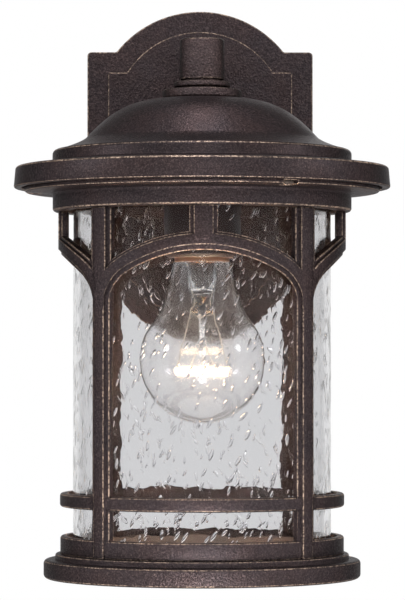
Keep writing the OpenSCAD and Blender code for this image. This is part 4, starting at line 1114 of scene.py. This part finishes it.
shellSet = {
    "rim": -45.3, "lipR": 14.9, "lipRound": 0.3, "lipTop": 0.9, "barrelFoot": 1.3, "barrelR": 14.5,
    "threadFoot": 1.8, "threadTop": 1.6, "rows": 42, "wave": 0.34, "pitch": 3.63, "base": -17.6,
    "baseEdge": (0.5, 1.2), "hole": 5.2, "wall": 0.4, "steps": 72,
}


def buildShell():
    s = shellSet
    low, top = s["rim"] + s["threadFoot"], s["base"] - s["threadTop"]
    outer = [(s["lipR"], s["rim"] + s["lipRound"]), (s["lipR"], s["rim"] + s["lipTop"])]
    outer += [(s["barrelR"] + s["wave"], s["rim"] + s["barrelFoot"])]
    for index in range(s["rows"] + 1):
        z = low + (top - low) * index / s["rows"]
        outer.append((s["barrelR"] + s["wave"] * math.cos(2 * math.pi * (z - low) / s["pitch"]), z))
    short, long = s["baseEdge"]
    outer += [(s["barrelR"] - short, s["base"] - short), (s["barrelR"] - long, s["base"])]
    outer += [(s["hole"], s["base"])]
    inner = [(r - s["wall"], z - (s["wall"] if z > top else 0)) for r, z in outer[1:-1]]
    inner = [(s["lipR"] - s["lipRound"], s["rim"])] + inner + [(s["hole"], s["base"] - s["wall"])]
    shell = turnedPiece("socketShell", outer + inner[::-1], s["steps"])
    smoothByAngle(shell, 40)
    return shell


socketShell = buildShell()
dress(socketShell, finish["copper_shell"], "root", "copper_shell", "socket_shell")

filamentSet = {
    "length": 25.0, "height": -99.1, "coilR": 1.8, "wireR": 0.36, "turns": 24, "sides": 8, "steps": 12,
}


def buildFilament():
    s = filamentSet
    pickNothing()
    start = -s["length"] / 2000
    bpy.ops.mesh.primitive_circle_add(
        vertices=s["sides"], radius=s["wireR"] / 1000, fill_type="NOTHING",
        location=(start, axisY, (s["height"] + s["coilR"]) / 1000),
    )
    coil = startPiece("filamentCoil")
    bpy.ops.object.transform_apply(location=True)
    editAll()
    bpy.ops.transform.translate(value=(-start, -axisY, -s["height"] / 1000))  # it winds round the origin
    toObjectMode()
    screw = coil.modifiers.new("winding", "SCREW")
    screw.axis = "X"
    screw.angle = 2 * math.pi
    screw.screw_offset = s["length"] / 1000 / s["turns"]
    screw.iterations = s["turns"]
    screw.steps = s["steps"]
    screw.render_steps = s["steps"]
    applyModifiers(coil)
    editAll()
    bpy.ops.transform.translate(value=(start, axisY, s["height"] / 1000))
    bpy.ops.mesh.normals_make_consistent(inside=False)
    toObjectMode()
    return coil


filamentCoil = buildFilament()
dress(filamentCoil, finish["tungsten"], "lamp", "tungsten", "bulb_filament")
print("lamp made")


def buildFloor():
    pickNothing()
    bpy.ops.mesh.primitive_plane_add(size=studio["floorSize"], location=(0, 0, -studio["floorDrop"]))
    floor = startPiece("paleFloor")
    material, tree, shader = newMaterial("paleFloor")
    coords = addNode(tree, "ShaderNodeTexCoord").outputs["Object"]
    color = mixColor(tree, addNoise(tree, coords, studio["floorClouds"]), *studio["floorColors"])
    feed(tree, color, shader.inputs["Base Color"])
    setInputs(shader, {"Roughness": 0.9, "Specular IOR Level": 0.1, "Emission Color": (1, 1, 1, 1)})
    path = addNode(tree, "ShaderNodeLightPath")
    seen = addMath(tree, "MAXIMUM", path.outputs["Is Camera Ray"], path.outputs["Is Glossy Ray"])
    seen = addMath(tree, "MAXIMUM", seen, path.outputs["Is Transmission Ray"])
    feed(tree, addMath(tree, "MULTIPLY", seen, studio["floorLift"]), shader.inputs["Emission Strength"])
    mix = addNode(tree, "ShaderNodeMixShader")  # the floor can't be seen from below
    joinNodes(tree, addNode(tree, "ShaderNodeNewGeometry"), "Backfacing", mix, 0)
    joinNodes(tree, shader, 0, mix, 1)
    joinNodes(tree, addNode(tree, "ShaderNodeBsdfTransparent"), 0, mix, 2)
    joinNodes(tree, mix, 0, tree.nodes["Material Output"], "Surface")
    floor.data.materials.append(material)
    settle(floor)


buildFloor()
print("floor laid")

pickNothing()
